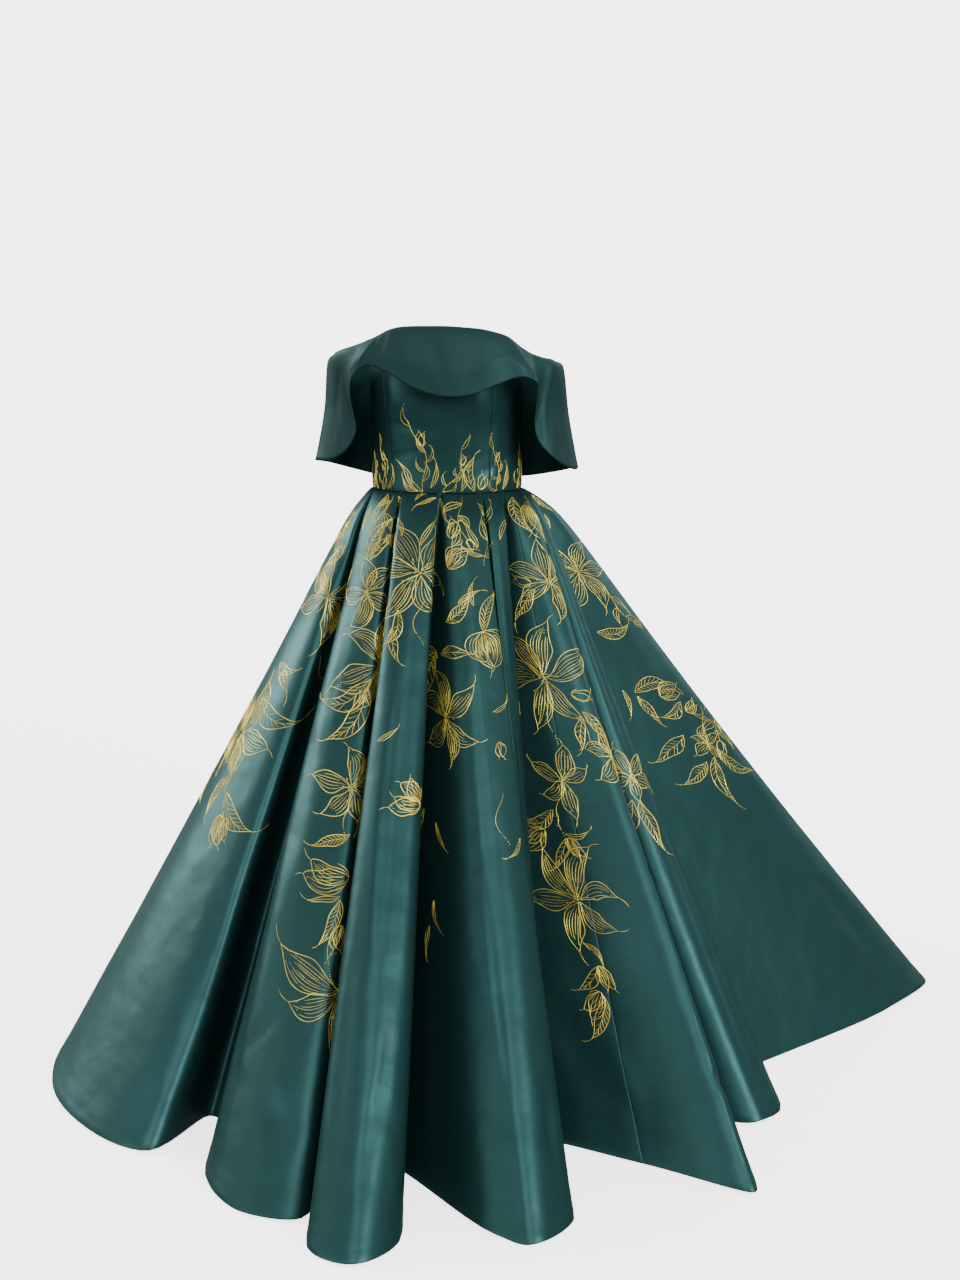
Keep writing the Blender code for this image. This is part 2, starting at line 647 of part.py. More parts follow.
def combine(name, base, tools, finish):
    """Join or cut helpers into one solid, then drop the helpers."""
    for tool, operation in tools:
        step = base.modifiers.new(operation.lower(), "BOOLEAN")
        step.operation = operation
        step.solver = "EXACT"
        step.object = tool
    graph = bpy.context.evaluated_depsgraph_get()
    shape = bmesh.new()
    shape.from_mesh(base.evaluated_get(graph).to_mesh())
    bmesh.ops.triangulate(shape, faces=shape.faces)
    shape.verts.index_update()
    vertices = [np.array(vertex.co) for vertex in shape.verts]
    faces = [tuple(vertex.index for vertex in face.verts) for face in shape.faces]
    shape.free()
    for body in [base] + [tool for tool, operation in tools]:
        bpy.data.objects.remove(body, do_unlink=True)
    return add_body(name, vertices, faces, finish)


def add_slider(finish):
    """Slider plate with two lugs and the pin that carries the pull."""
    face = bodice_point(180.0, SLIDER_TOP)[1] + 2 * SEAM_GAP
    plate_out = face + SLIDER_THICK
    bottom = SLIDER_TOP - SLIDER_HEIGHT
    half = SLIDER_WIDTH / 2
    plate = box("slider_plate", (-half, face, bottom), (half, plate_out, SLIDER_TOP))
    sunk = plate_out - 0.5 * SLIDER_THICK
    lug_top = PIN_HEIGHT + LUG_HALF_HEIGHT
    lug_bottom = PIN_HEIGHT - LUG_HALF_HEIGHT
    tools = []
    for side in (-1.0, 1.0):
        near = side * LUG_HALF_GAP
        far = side * (LUG_HALF_GAP + LUG_THICK)
        low = (min(near, far), sunk, lug_bottom)
        high = (max(near, far), plate_out + LUG_REACH, lug_top)
        tools.append((box("slider_lug", low, high), "UNION"))
    reach = LUG_HALF_GAP + 0.5 * LUG_THICK
    pin_depth = plate_out + PIN_REACH
    tools.append((rod("slider_pin", reach, pin_depth, PIN_HEIGHT, PIN_RADIUS), "UNION"))
    combine("zip_slider", plate, tools, finish)
    return pin_depth


def add_pull(finish, pin_depth):
    """Pull tab: an eye round the pin with a flat tab hanging from it."""
    half_eye = PULL_EYE_WIDTH / 2
    eye = rod("pull_eye", half_eye, pin_depth, PIN_HEIGHT, EYE_OUTER)
    low_z = PIN_HEIGHT - PULL_LENGTH
    neck_z = PIN_HEIGHT - PULL_NECK
    half_thick = PULL_THICK / 2
    half = PULL_WIDTH / 2
    neck = box(
        "pull_neck",
        (-half_eye, pin_depth - half_thick, neck_z - 0.0005),
        (half_eye, pin_depth + half_thick, PIN_HEIGHT - EYE_INNER),
    )
    tab = box(
        "pull_tab",
        (-half, pin_depth - half_thick, low_z),
        (half, pin_depth + half_thick, neck_z),
    )
    hole = rod("pull_hole", 2 * half_eye, pin_depth, PIN_HEIGHT, EYE_INNER)
    tools = ((neck, "UNION"), (tab, "UNION"), (hole, "DIFFERENCE"))
    combine("zip_pull", eye, tools, finish)


def clear_scene():
    """Remove whatever the scene starts with."""
    for body in list(bpy.data.objects):
        bpy.data.objects.remove(body, do_unlink=True)


def main():
    """Build every piece."""
    clear_scene()
    satin = Finish("satin", SATIN, 0.42, 0.0)
    add_skirt(satin)
    add_bodice(satin)
    add_collar(satin)
    add_zip_tape(Finish("tape", (0.018, 0.055, 0.052), 0.8, 0.0))
    metal = Finish("metal", (0.10, 0.16, 0.15), 0.35, 1.0)
    pin_depth = add_slider(metal)
    add_pull(metal, pin_depth)


main()
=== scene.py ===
import logging
import math
from dataclasses import dataclass, field
from enum import Enum
from typing import NamedTuple, Sequence

import bmesh
import bpy
import numpy as np
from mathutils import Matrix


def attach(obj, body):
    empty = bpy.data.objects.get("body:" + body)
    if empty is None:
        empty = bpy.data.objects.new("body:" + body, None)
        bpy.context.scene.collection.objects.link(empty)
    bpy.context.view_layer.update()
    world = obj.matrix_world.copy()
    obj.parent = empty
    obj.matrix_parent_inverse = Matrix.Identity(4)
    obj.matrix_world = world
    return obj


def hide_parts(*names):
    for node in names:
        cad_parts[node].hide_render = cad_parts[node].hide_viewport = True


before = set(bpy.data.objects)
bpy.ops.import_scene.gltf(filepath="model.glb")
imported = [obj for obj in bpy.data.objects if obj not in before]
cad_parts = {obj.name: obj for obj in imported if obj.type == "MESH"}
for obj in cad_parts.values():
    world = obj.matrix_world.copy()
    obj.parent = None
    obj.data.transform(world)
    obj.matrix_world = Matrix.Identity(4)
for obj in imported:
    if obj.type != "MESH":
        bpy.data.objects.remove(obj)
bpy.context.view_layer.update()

# Off-shoulder ball gown in heavy satin with a gold print of lilies.
# Metres, +Z up, front towards -Y, wearer's left towards +X, origin at the
# middle of the waist. Azimuth runs from the front towards +X, in degrees.
# Flat places on the cloth are given to the right first, then down.

Array = np.ndarray
Piece = bpy.types.Object
Mesh = bpy.types.Mesh
Material = bpy.types.Material
NodeTree = bpy.types.NodeTree
Socket = bpy.types.NodeSocket
Colour = tuple[float, float, float]
Point = tuple[float, float]

LOG = logging.getLogger("ball_gown")

GOWN_BODY = "gown"
PULL_BODY = "pull"

SEAM_GAP = 0.0003
HEM_DROP = 1.110
HEM_CLEAR = 0.001
SKIRT_HEIGHT = HEM_DROP - HEM_CLEAR

WAIST_HALF_WIDTH = 0.1460
WAIST_FRONT = 0.1120
WAIST_BACK = 0.1000


class Fold(NamedTuple):
    """One fold of the skirt: points at the hem, and its crease at the waist."""

    name: str
    left_az: float
    left_reach: float
    nose_az: float
    nose_reach: float
    right_az: float
    right_reach: float
    valley_az: float
    valley_reach: float
    valley_half: float
    waist_crease: float


FOLDS = tuple(Fold(*row) for row in (
    ("a", -76, 0.768, -55.5, 0.811, -35.8, 0.758, -36.9, 0.605, 1.6, -68),
    ("b", -25.6, 0.752, -17.5, 0.816, -9.2, 0.806, -8.5, 0.655, 1.1, -30),
    ("c", -6.8, 0.88, -1.4, 0.916, 2.7, 0.842, -1.4, 0.618, 1, 1.2),
    ("d", 13.2, 0.828, 17.2, 0.861, 22.6, 0.803, 23.2, 0.738, 0.2, 32),
    ("d_small", 23.5, 0.712, 23.9, 0.68, 24.3, 0.645, 24.9, 0.548, 1, 53),
    ("e", 37, 0.693, 44.2, 0.868, 48.2, 0.772, 53.6, 0.652, 1.3, 84),
    ("f", 58, 0.722, 62.8, 0.739, 67.3, 0.713, 70.6, 0.615, 1.4, 99),
    ("g", 99, 0.912, 107.6, 1.062, 112.2, 0.985, 117, 0.775, 1.5, 121),
    ("h", 120.4, 0.9, 126, 1.005, 132, 0.935, 136, 0.76, 1.6, 142),
    ("i", 140.5, 0.925, 150.5, 1.05, 158.5, 0.975, 163, 0.795, 1.5, 167),
    ("j", 168, 0.96, 180, 1.062, 190.5, 0.98, 193.5, 0.8, 1.4, 193),
    ("k", 196.5, 0.91, 202, 1, 208, 0.925, 211, 0.755, 1.6, 209),
    ("l", 214.5, 0.895, 223, 0.975, 231, 0.895, 234.5, 0.72, 1.6, 229),
    ("m", 238, 0.815, 244, 0.862, 250.5, 0.815, 254, 0.65, 1.8, 246),
    ("n", 258, 0.75, 266, 0.768, 272, 0.735, 276.5, 0.62, 1.6, 262),
))
FOLD_NAMES = tuple(fold.name for fold in FOLDS)

# Sizes of the bodice: height over the waist, half width, front, back, cup.
BODICE_LEVELS = (
    (0, 0.146, 0.112, 0.1, 0), (0.06, 0.1452, 0.1125, 0.1005, 0.001),
    (0.12, 0.1458, 0.118, 0.103, 0.006), (0.17, 0.147, 0.124, 0.1065, 0.012),
    (0.215, 0.1478, 0.1265, 0.1095, 0.0115), (0.26, 0.1475, 0.1235, 0.1115, 0.006),
    (0.31, 0.1455, 0.1175, 0.1125, 0.001),
)

# Crest (x, y, z) and hem (x, y, z) of the collar at places round the body:
# the back, the right arm, the front from right to left, the left arm.
COLLAR_STATIONS = (
    (0, 0.124, 0.259, 0, 0.166, 0.006), (-0.066, 0.119, 0.258, -0.084, 0.158, 0.004),
    (-0.122, 0.103, 0.255, -0.15, 0.137, 0.008), (-0.172, 0.079, 0.251, -0.206, 0.108, 0.024),
    (-0.202, 0.0505, 0.249, -0.244, 0.062, 0.04), (-0.217, 0.02, 0.248, -0.257, 0.004, 0.049),
    (-0.22, -0.01, 0.249, -0.247, -0.046, 0.054), (-0.215, -0.037, 0.252, -0.21, -0.08, 0.06),
    (-0.206, -0.055, 0.256, -0.176, -0.095, 0.081), (-0.198, -0.069, 0.261, -0.159, -0.1, 0.112),
    (-0.184, -0.08, 0.266, -0.161, -0.103, 0.14), (-0.17, -0.089, 0.27, -0.167, -0.108, 0.173),
    (-0.155, -0.097, 0.275, -0.166, -0.114, 0.205), (-0.14, -0.104, 0.28, -0.154, -0.12, 0.226),
    (-0.122, -0.111, 0.287, -0.13, -0.127, 0.238), (-0.088, -0.1195, 0.303, -0.09, -0.142, 0.226),
    (-0.044, -0.125, 0.309, -0.04, -0.155, 0.199), (0, -0.127, 0.309, 0.016, -0.16, 0.183),
    (0.046, -0.125, 0.307, 0.07, -0.158, 0.187), (0.09, -0.1195, 0.302, 0.113, -0.147, 0.204),
    (0.124, -0.111, 0.293, 0.148, -0.134, 0.217), (0.142, -0.1035, 0.281, 0.171, -0.127, 0.217),
    (0.156, -0.0965, 0.269, 0.186, -0.12, 0.206), (0.17, -0.0885, 0.26, 0.188, -0.112, 0.181),
    (0.184, -0.0795, 0.254, 0.182, -0.105, 0.151), (0.197, -0.0695, 0.25, 0.18, -0.101, 0.121),
    (0.208, -0.057, 0.247, 0.19, -0.098, 0.094), (0.213, -0.04, 0.243, 0.216, -0.085, 0.066),
    (0.218, -0.012, 0.24, 0.247, -0.05, 0.043), (0.215, 0.018, 0.239, 0.255, -0.004, 0.041),
    (0.199, 0.05, 0.239, 0.245, 0.056, 0.036), (0.17, 0.078, 0.244, 0.208, 0.103, 0.024),
    (0.122, 0.1025, 0.251, 0.152, 0.135, 0.012), (0.066, 0.119, 0.257, 0.086, 0.158, 0.006),
)


class Crease(NamedTuple):
    """A soft trough or ridge laid on the cloth.

    place is a column of the cloth, down the way from its top, path the
    further points from there, width half its width and height its rise.
    """

    place: float
    down: float
    path: tuple[Point, ...]
    width: float
    height: float


class Motif(Enum):
    """The flower and leaf drawings of the print."""

    LILY = "lily"
    STAR = "star"
    LEAF = "leaf"
    BUD = "bud"
    TENDRIL = "tendril"
    SPRAY = "spray"
    FLAME = "flame"
    BLOOM = "bloom"


class PrintSpot(NamedTuple):
    """Where a motif lies: place and way down, turn in degrees, and size."""

    motif: Motif
    place: float
    down: float
    turn: float
    size: float


class Repeat(Enum):
    """Shapes that Geometry Nodes repeat."""

    BEAD = "bead"
    STITCH = "stitch"
    TOOTH = "tooth"


# Creases of the skirt: fold, station, way down, path, half width and height.
SKIRT_CREASES = (
    ("a", 1.83, 0.82, ((0.018, 0.204), (0.026, 0.368)), 0.018, -0.0055),
    ("a", 2.92, 0.89, ((-0.028, 0.159), (-0.074, 0.277)), 0.02, 0.0045),
    ("a", 1.65, 1.13, ((0.004, 0.109),), 0.02, 0.003),
    ("a", 0.45, 0.7, ((-0.006, 0.19), (-0.02, 0.38)), 0.026, -0.005),
    ("a", 1.54, 0.08, ((0.027, 0.125), (0.042, 0.269)), 0.012, -0.0026),
    ("b", 1.6, 0.9, ((-0.056, 0.095), (-0.159, 0.225)), 0.011, -0.0032),
    ("b", 0.42, 0.28, ((0.004, 0.34), (0.006, 0.8)), 0.05, 0.011),
    ("b", 1.1, 1.14, ((0.086, 0.068),), 0.03, -0.004),
    ("b", 0.52, 0.51, ((0.007, 0.167), (0.009, 0.294)), 0.018, -0.003),
    ("c", 0.89, 0.43, ((-0.005, 0.199), (0.003, 0.363), (0.009, 0.465)), 0.009, -0.0026),
    ("c", 0.35, 0.9, ((0.004, 0.196), (0.007, 0.35)), 0.015, -0.0036),
    ("c", 1.46, 1.01, ((-0.024, 0.153), (-0.033, 0.258)), 0.013, -0.003),
    ("c", 4.6, 0.69, ((0.06, -0.007), (0.102, 0.012)), 0.004, -0.001),
    ("c", 4.93, 0.83, ((0.004, 0.215), (0.017, 0.323)), 0.015, -0.0032),
    ("d", 0.46, 0.71, ((0.005, 0.238), (0.014, 0.383)), 0.01, -0.0024),
    ("d", 1.58, 1.1, ((0.004, 0.128),), 0.014, -0.0034),
    ("d_small", 4.41, 0.95, ((0.032, 0.133),), 0.03, -0.0045),
    ("d_small", 4.98, 1.04, ((0.004, 0.065), (0.011, 0.12)), 0.022, 0.003),
    ("e", 0.95, 0.77, ((0.06, 0.012),), 0.009, -0.0034),
    ("e", 0.6, 1.01, ((0.008, 0.103),), 0.012, -0.0032),
    ("e", 0.95, 1.13, ((0.052, 0.06),), 0.012, -0.005),
    ("f", 4.31, 1.02, ((0.004, 0.14),), 0.012, -0.0034),
    ("f", 4.65, 0.82, ((0.059, -0.001), (0.109, 0.026)), 0.007, -0.0024),
    ("f", 4.5, 0.81, ((0.047, 0.029),), 0.007, -0.002),
    ("f", 4.3, 1.1, ((0.059, 0.003), (0.119, 0.035)), 0.008, -0.0028),
    ("f", 4.77, 0.11, ((0.002, 0.16), (-0.011, 0.343)), 0.013, -0.0028),
    ("g", 0.4, 1.06, ((-0.001, 0.232),), 0.03, -0.005),
    ("g", 1.2, 0.55, ((0.01, 0.2), (0.004, 0.47)), 0.022, -0.0045),
    ("g", 2.3, 0.85, ((-0.02, 0.18), (-0.03, 0.33)), 0.018, 0.004),
    ("h", 0.6, 0.48, ((0.012, 0.21), (0.03, 0.42)), 0.018, -0.004),
    ("h", 1.5, 0.98, ((-0.04, 0.11), (-0.11, 0.2)), 0.012, -0.0032),
    ("i", 0.3, 0.74, ((0.016, 0.19), (0.022, 0.4)), 0.024, -0.005),
    ("i", 1.35, 0.38, ((-0.008, 0.23), (0.004, 0.51)), 0.014, 0.0032),
    ("i", 1.85, 1.08, ((0.06, 0.05), (0.11, 0.12)), 0.014, -0.004),
    ("j", 0.45, 0.62, ((-0.014, 0.26), (-0.026, 0.53)), 0.02, -0.0046),
    ("j", 1.55, 0.9, ((0.02, 0.21), (0.024, 0.39)), 0.026, -0.0052),
    ("j", 1.25, 0.3, ((0.006, 0.18),), 0.01, -0.0022),
    ("k", 0.8, 1.02, ((-0.05, 0.07), (-0.12, 0.17)), 0.012, -0.0034),
    ("k", 1.4, 0.52, ((0.01, 0.24), (0.012, 0.42)), 0.016, 0.0036),
    ("l", 0.5, 0.8, ((0.014, 0.2), (0.01, 0.41)), 0.022, -0.005),
    ("l", 1.6, 0.44, ((-0.01, 0.22), (-0.004, 0.36)), 0.013, -0.003),
    ("l", 1.15, 1.16, ((0.05, 0.03),), 0.012, -0.0036),
    ("m", 0.9, 0.66, ((-0.01, 0.21), (-0.024, 0.4)), 0.018, -0.0042),
    ("m", 1.9, 0.96, ((0.03, 0.12), (0.044, 0.22)), 0.014, 0.0034),
    ("n", 0.7, 0.5, ((0.008, 0.18), (0.02, 0.37)), 0.016, -0.0036),
    ("n", 1.3, 0.94, ((-0.036, 0.12), (-0.06, 0.24)), 0.013, -0.0034),
)

# Motifs of the skirt: kind, fold, station, way down, turn and size. A motif's
# seed comes from its number in the table, so a new one goes to the end.
SKIRT_PRINT = (
    ("spray", "d", 1.59, 0.163, -84, 0.135), ("leaf", "b", 0.55, 0.039, 93, 0.06),
    ("leaf", "c", 0.47, 0.105, -116, 0.05), ("leaf", "d", 1.42, 0.127, -105, 0.059),
    ("leaf", "d_small", 0.97, 0.105, -57, 0.063), ("leaf", "c", 0.82, 0.02, -45, 0.044),
    ("tendril", "c", 1.67, 0.231, 95, 0.098), ("leaf", "a", 1.58, 0.196, 110, 0.06),
    ("leaf", "c", 0.62, 0.256, 101, 0.082), ("tendril", "d_small", 4.86, 0.415, 77, 0.085),
    ("leaf", "d", 0.34, 0.236, -38, 0.051), ("spray", "g", 0.11, 0.27, 72, 0.11),
    ("tendril", "d_small", 4.89, 0.585, 104, 0.075), ("tendril", "e", 0.6, 0.486, 64, 0.073),
    ("tendril", "a", 1.22, 0.569, 77, 0.131), ("tendril", "b", 1.85, 0.612, 92, 0.073),
    ("tendril", "b", 1.91, 0.799, 85, 0.142), ("tendril", "d_small", 4.79, 0.81, 72, 0.09),
    ("leaf", "c", 4.83, 0.146, -40, 0.051), ("tendril", "g", 0.59, 0.593, 112, 0.14),
    ("spray", "e", 1.6, 0.02, 80, 0.115), ("spray", "d", 1.02, 0.01, 88, 0.13),
    ("spray", "b", 1.66, 0.01, 84, 0.12), ("spray", "a", 1.8, 0.05, 112, 0.11),
    ("leaf", "b", 1.32, 0.008, 93, 0.088), ("leaf", "b", 1.99, 0.011, 63, 0.064),
    ("leaf", "c", 1.93, 0.013, 159, 0.046), ("leaf", "c", 3.61, 0.011, 55, 0.06),
    ("leaf", "d", 1.65, 0.143, -160, 0.046), ("leaf", "e", 0.41, 0.017, 90, 0.091),
    ("bud", "e", 0.89, 0.043, 88, 0.065), ("leaf", "f", 4.57, 0.072, 129, 0.089),
    ("leaf", "f", 4.75, 0.026, 80, 0.05), ("leaf", "a", 1.41, 0.073, 100, 0.065),
    ("leaf", "a", 1.73, 0.13, 122, 0.068), ("lily", "a", 1.81, 0.237, -78, 0.107),
    ("star", "b", 1.35, 0.219, -65, 0.073), ("leaf", "b", 1.05, 0.155, -72, 0.103),
    ("leaf", "b", 1.24, 0.155, -57, 0.076), ("lily", "c", 1.4, 0.18, 98, 0.112),
    ("leaf", "c", 1.36, 0.123, -71, 0.062), ("bud", "d", 0.21, 0.105, -73, 0.043),
    ("bud", "c", 4.93, 0.163, -51, 0.057), ("leaf", "c", 4.7, 0.264, -39, 0.082),
    ("leaf", "d", 1.01, 0.243, -93, 0.051), ("bloom", "d", 1.24, 0.293, 79, 0.08),
    ("leaf", "d", 1.31, 0.293, -73, 0.087), ("lily", "e", 0.8, 0.208, -80, 0.087),
    ("bud", "e", 0.11, 0.195, -173, 0.038), ("leaf", "e", 0.2, 0.21, 137, 0.088),
    ("lily", "f", 4.65, 0.203, 85, 0.101), ("leaf", "f", 4.47, 0.323, 4, 0.091),
    ("lily", "b", 2.42, 0.349, -169, 0.107), ("leaf", "b", 1.95, 0.386, 146, 0.131),
    ("leaf", "b", 1.87, 0.402, 115, 0.138), ("leaf", "c", 0.46, 0.292, 80, 0.071),
    ("leaf", "c", 4.32, 0.312, 125, 0.139), ("leaf", "c", 4.37, 0.324, -167, 0.068),
    ("leaf", "c", 4.48, 0.321, -16, 0.083), ("lily", "c", 4.62, 0.441, -8, 0.093),
    ("lily", "d_small", 4.94, 0.375, 134, 0.125), ("bud", "e", 0.49, 0.422, 5, 0.039),
    ("leaf", "d", 1.33, 0.445, -19, 0.043), ("bud", "d", 1.42, 0.501, 85, 0.03),
    ("leaf", "c", 0.35, 0.509, -29, 0.049), ("leaf", "a", 1.12, 0.387, 12, 0.071),
    ("leaf", "a", 1.12, 0.391, 30, 0.085), ("leaf", "a", 1.05, 0.465, 20, 0.145),
    ("tendril", "a", 1.07, 0.405, 84, 0.121), ("star", "a", 0.99, 0.541, 5, 0.106),
    ("leaf", "a", 1.04, 0.559, 58, 0.074), ("leaf", "a", 1.16, 0.626, 109, 0.087),
    ("leaf", "a", 1.28, 0.653, 37, 0.126), ("bud", "a", 1.33, 0.697, 68, 0.063),
    ("bud", "a", 1.44, 0.697, 69, 0.047), ("lily", "b", 1.79, 0.589, -175, 0.088),
    ("leaf", "b", 1.92, 0.673, 151, 0.077), ("tendril", "a", 2.31, 0.347, 51, 0.093),
    ("bud", "b", 2.08, 0.749, -172, 0.091), ("leaf", "b", 1.88, 0.784, 160, 0.064),
    ("leaf", "b", 1.89, 0.79, 101, 0.087), ("bud", "b", 1.98, 0.833, 88, 0.046),
    ("tendril", "b", 1.99, 0.879, 137, 0.027), ("lily", "b", 2.19, 0.941, -169, 0.128),
    ("bud", "c", 1.92, 0.605, -130, 0.055), ("bud", "c", 1.94, 0.616, -167, 0.062),
    ("leaf", "c", 4.13, 0.598, 122, 0.111), ("leaf", "c", 4.4, 0.627, 59, 0.054),
    ("leaf", "c", 4.39, 0.765, 74, 0.054), ("leaf", "c", 4.34, 0.808, 106, 0.059),
    ("tendril", "d", 1.37, 0.595, 95, 0.103), ("star", "d_small", 4.93, 0.567, -79, 0.068),
    ("leaf", "d_small", 4.67, 0.616, 153, 0.09), ("bud", "d_small", 4.48, 0.649, 143, 0.061),
    ("leaf", "d", 1.77, 0.674, 131, 0.046), ("leaf", "d_small", 4.81, 0.664, -7, 0.052),
    ("leaf", "d_small", 4.81, 0.671, 112, 0.072), ("bud", "d_small", 4.84, 0.672, 52, 0.042),
    ("tendril", "d_small", 4.73, 0.622, 76, 0.044), ("lily", "d_small", 4.83, 0.784, 133, 0.104),
    ("leaf", "d_small", 4.8, 0.861, 37, 0.051), ("leaf", "d_small", 4.94, 0.905, 126, 0.075),
    ("bud", "d_small", 4.94, 0.905, 65, 0.045), ("bud", "d_small", 4.91, 0.951, 126, 0.06),
    ("leaf", "d_small", 4.94, 0.959, 108, 0.094), ("leaf", "e", 0.62, 0.461, 48, 0.074),
    ("leaf", "e", 0.55, 0.467, 95, 0.07), ("star", "e", 1.15, 0.557, 161, 0.053),
    ("star", "f", 0.16, 0.599, 75, 0.056), ("leaf", "e", 4.62, 0.617, 121, 0.055),
    ("leaf", "e", 4.78, 0.639, 117, 0.096), ("leaf", "f", 0.15, 0.645, 88, 0.104),
    ("leaf", "f", 4.45, 0.448, 90, 0.057), ("leaf", "f", 4.58, 0.466, -8, 0.109),
    ("leaf", "f", 4.59, 0.476, 78, 0.074), ("bud", "f", 4.85, 0.507, -6, 0.064),
    ("leaf", "g", 0.16, 0.549, 154, 0.084), ("bud", "g", 0.16, 0.575, -23, 0.041),
    ("leaf", "g", 0.25, 0.587, 33, 0.06), ("leaf", "f", 4.84, 0.6, 150, 0.119),
    ("star", "g", 0.14, 0.653, 78, 0.047), ("leaf", "g", 0.23, 0.679, 55, 0.106),
    ("leaf", "g", 0.09, 0.684, 110, 0.123), ("leaf", "f", 4.92, 0.677, 151, 0.102),
)

# Creases of the bodice: azimuth, way down, path, half width and height.
BODICE_CREASES = tuple(Crease(*row) for row in (
    (-38, 0.075, ((0.025, 0.025), (0.034, 0.059)), 0.02, 0.0022),
    (38, 0.07, ((-0.024, 0.028), (-0.03, 0.06)), 0.02, 0.0018),
    (-28, 0.163, ((0.077, 0.012),), 0.014, -0.0013), (47, 0.114, ((0.054, 0.064),), 0.01, -0.0014),
    (304, 0.24, ((0.058, -0.03), (0.111, -0.041)), 0.009, -0.0012),
    (24, 0.262, ((0.062, -0.028), (0.139, -0.091)), 0.01, -0.0013),
    (291, 0.08, ((-0.001, 0.096),), 0.008, -0.0014),
    (84, 0.06, ((0.012, 0.06), (0.004, 0.12)), 0.009, -0.0015),
    (118, 0.19, ((0.07, 0.02),), 0.009, -0.0012),
    (142, 0.09, ((0.018, 0.05), (0.022, 0.09)), 0.01, -0.0013),
    (171, 0.17, ((-0.05, 0.03),), 0.008, -0.001),
    (198, 0.12, ((0.04, 0.045), (0.07, 0.06)), 0.01, -0.0014),
    (236, 0.08, ((-0.014, 0.07),), 0.009, -0.0012), (262, 0.15, ((0.036, 0.04),), 0.009, -0.0013),
))

# Motifs of the bodice: kind, azimuth, way above the waist, turn and size.
BODICE_PRINT = (
    ("flame", 309, 0.002, -96, 0.105), ("leaf", 301, 0.002, -118, 0.042),
    ("leaf", 315, 0.004, -62, 0.044), ("flame", 293, 0.002, -88, 0.07),
    ("leaf", -21, 0.006, -112, 0.06), ("leaf", -16, 0.003, -150, 0.045),
    ("flame", -12, 0.003, -100, 0.165), ("leaf", -6, 0.01, -70, 0.05),
    ("flame", 3, 0.003, -64, 0.118), ("leaf", 17, 0.003, -80, 0.045),
    ("leaf", 27, 0.003, -98, 0.07), ("bud", 32, 0.006, -74, 0.03), ("flame", 47, 0.003, -99, 0.104),
    ("leaf", 53, 0.004, -70, 0.05), ("flame", 74, 0.003, -84, 0.086),
    ("leaf", 92, 0.003, -104, 0.058), ("flame", 112, 0.003, -93, 0.122),
    ("leaf", 124, 0.003, -66, 0.05), ("flame", 146, 0.003, -100, 0.08),
    ("leaf", 161, 0.004, -82, 0.06), ("flame", 171, 0.003, -92, 0.112),
    ("flame", 190, 0.003, -86, 0.094), ("leaf", 202, 0.004, -112, 0.056),
    ("flame", 219, 0.003, -88, 0.128), ("leaf", 232, 0.003, -60, 0.048),
    ("flame", 252, 0.003, -97, 0.084), ("leaf", 271, 0.003, -78, 0.062),
)

# Creases of the collar: place among its stations, then as for the bodice.
COLLAR_CREASES = tuple(Crease(*row) for row in (
    (14.25, 0.028, ((-0.012, 0.022), (-0.03, 0.046)), 0.006, 0.0026),
    (20.6, 0.028, ((0.014, 0.022), (0.03, 0.048)), 0.006, 0.0026),
    (14.9, 0.034, ((-0.008, 0.024), (-0.022, 0.05)), 0.01, -0.0016),
    (19.95, 0.034, ((0.01, 0.026), (0.022, 0.05)), 0.01, -0.0016),
    (16.82, 0.057, ((0.011, 0.046), (0.018, 0.087)), 0.016, -0.0018),
    (18.62, 0.048, ((-0.025, 0.053), (-0.04, 0.087)), 0.018, -0.0016),
    (15.21, 0.058, ((0.022, 0.031),), 0.01, -0.0014),
    (17.7, 0.12, ((0.05, -0.01), (0.09, -0.03)), 0.01, 0.0012),
    (9.41, 0.064, ((-0.046, 0.042), (-0.072, 0.082)), 0.012, -0.0022),
    (7.1, 0.075, ((0.01, 0.07), (0.012, 0.13)), 0.012, 0.002),
    (26.45, 0.06, ((0.029, 0.063), (0.041, 0.112)), 0.012, -0.0022),
    (25.52, 0.101, ((0.026, 0.055),), 0.01, 0.0016),
    (28.6, 0.07, ((-0.012, 0.08), (-0.004, 0.13)), 0.013, -0.0024),
    (30.2, 0.05, ((0.02, 0.09), (0.024, 0.17)), 0.014, 0.0024),
    (31.6, 0.065, ((0.004, 0.1), (0.02, 0.17)), 0.012, -0.0022),
    (33, 0.08, ((-0.014, 0.12),), 0.015, 0.0022),
    (0.3, 0.06, ((0.012, 0.1), (0.006, 0.18)), 0.014, -0.0026),
    (1.6, 0.05, ((-0.02, 0.11), (-0.026, 0.19)), 0.013, 0.0022),
    (2.7, 0.075, ((0.01, 0.08), (0.024, 0.15)), 0.012, -0.0024),
    (4.1, 0.06, ((0.016, 0.07), (0.018, 0.15)), 0.014, 0.0024),
))


def ease(value: Array | float) -> Array:
    """Smooth step from 0 to 1."""
    clipped = np.clip(value, 0.0, 1.0)
    return clipped * clipped * (3.0 - 2.0 * clipped)


def mound(distance: Array, reach: float) -> Array:
    """Round rise of one at no distance, gone a few reaches away."""
    return np.exp(-((distance / reach) ** 2))


def unit(vectors: Array) -> Array:
    """Vectors with length one along the last axis."""
    length = np.linalg.norm(vectors, axis=-1, keepdims=True)
    return vectors / np.maximum(length, 1e-12)


def running(steps: Array | Sequence[float]) -> Array:
    """Running total along the last axis, from zero."""
    return np.insert(np.cumsum(steps, axis=-1), 0, 0, axis=-1)


def polar(azimuth: float, reach: float) -> Point:
    """Plan point at an azimuth in degrees and a reach from the axis."""
    angle = math.radians(azimuth)
    return reach * math.sin(angle), -reach * math.cos(angle)


def heading_of(step: Array) -> float:
    """Which way a flat step goes, in degrees."""
    return math.degrees(math.atan2(step[1], step[0]))


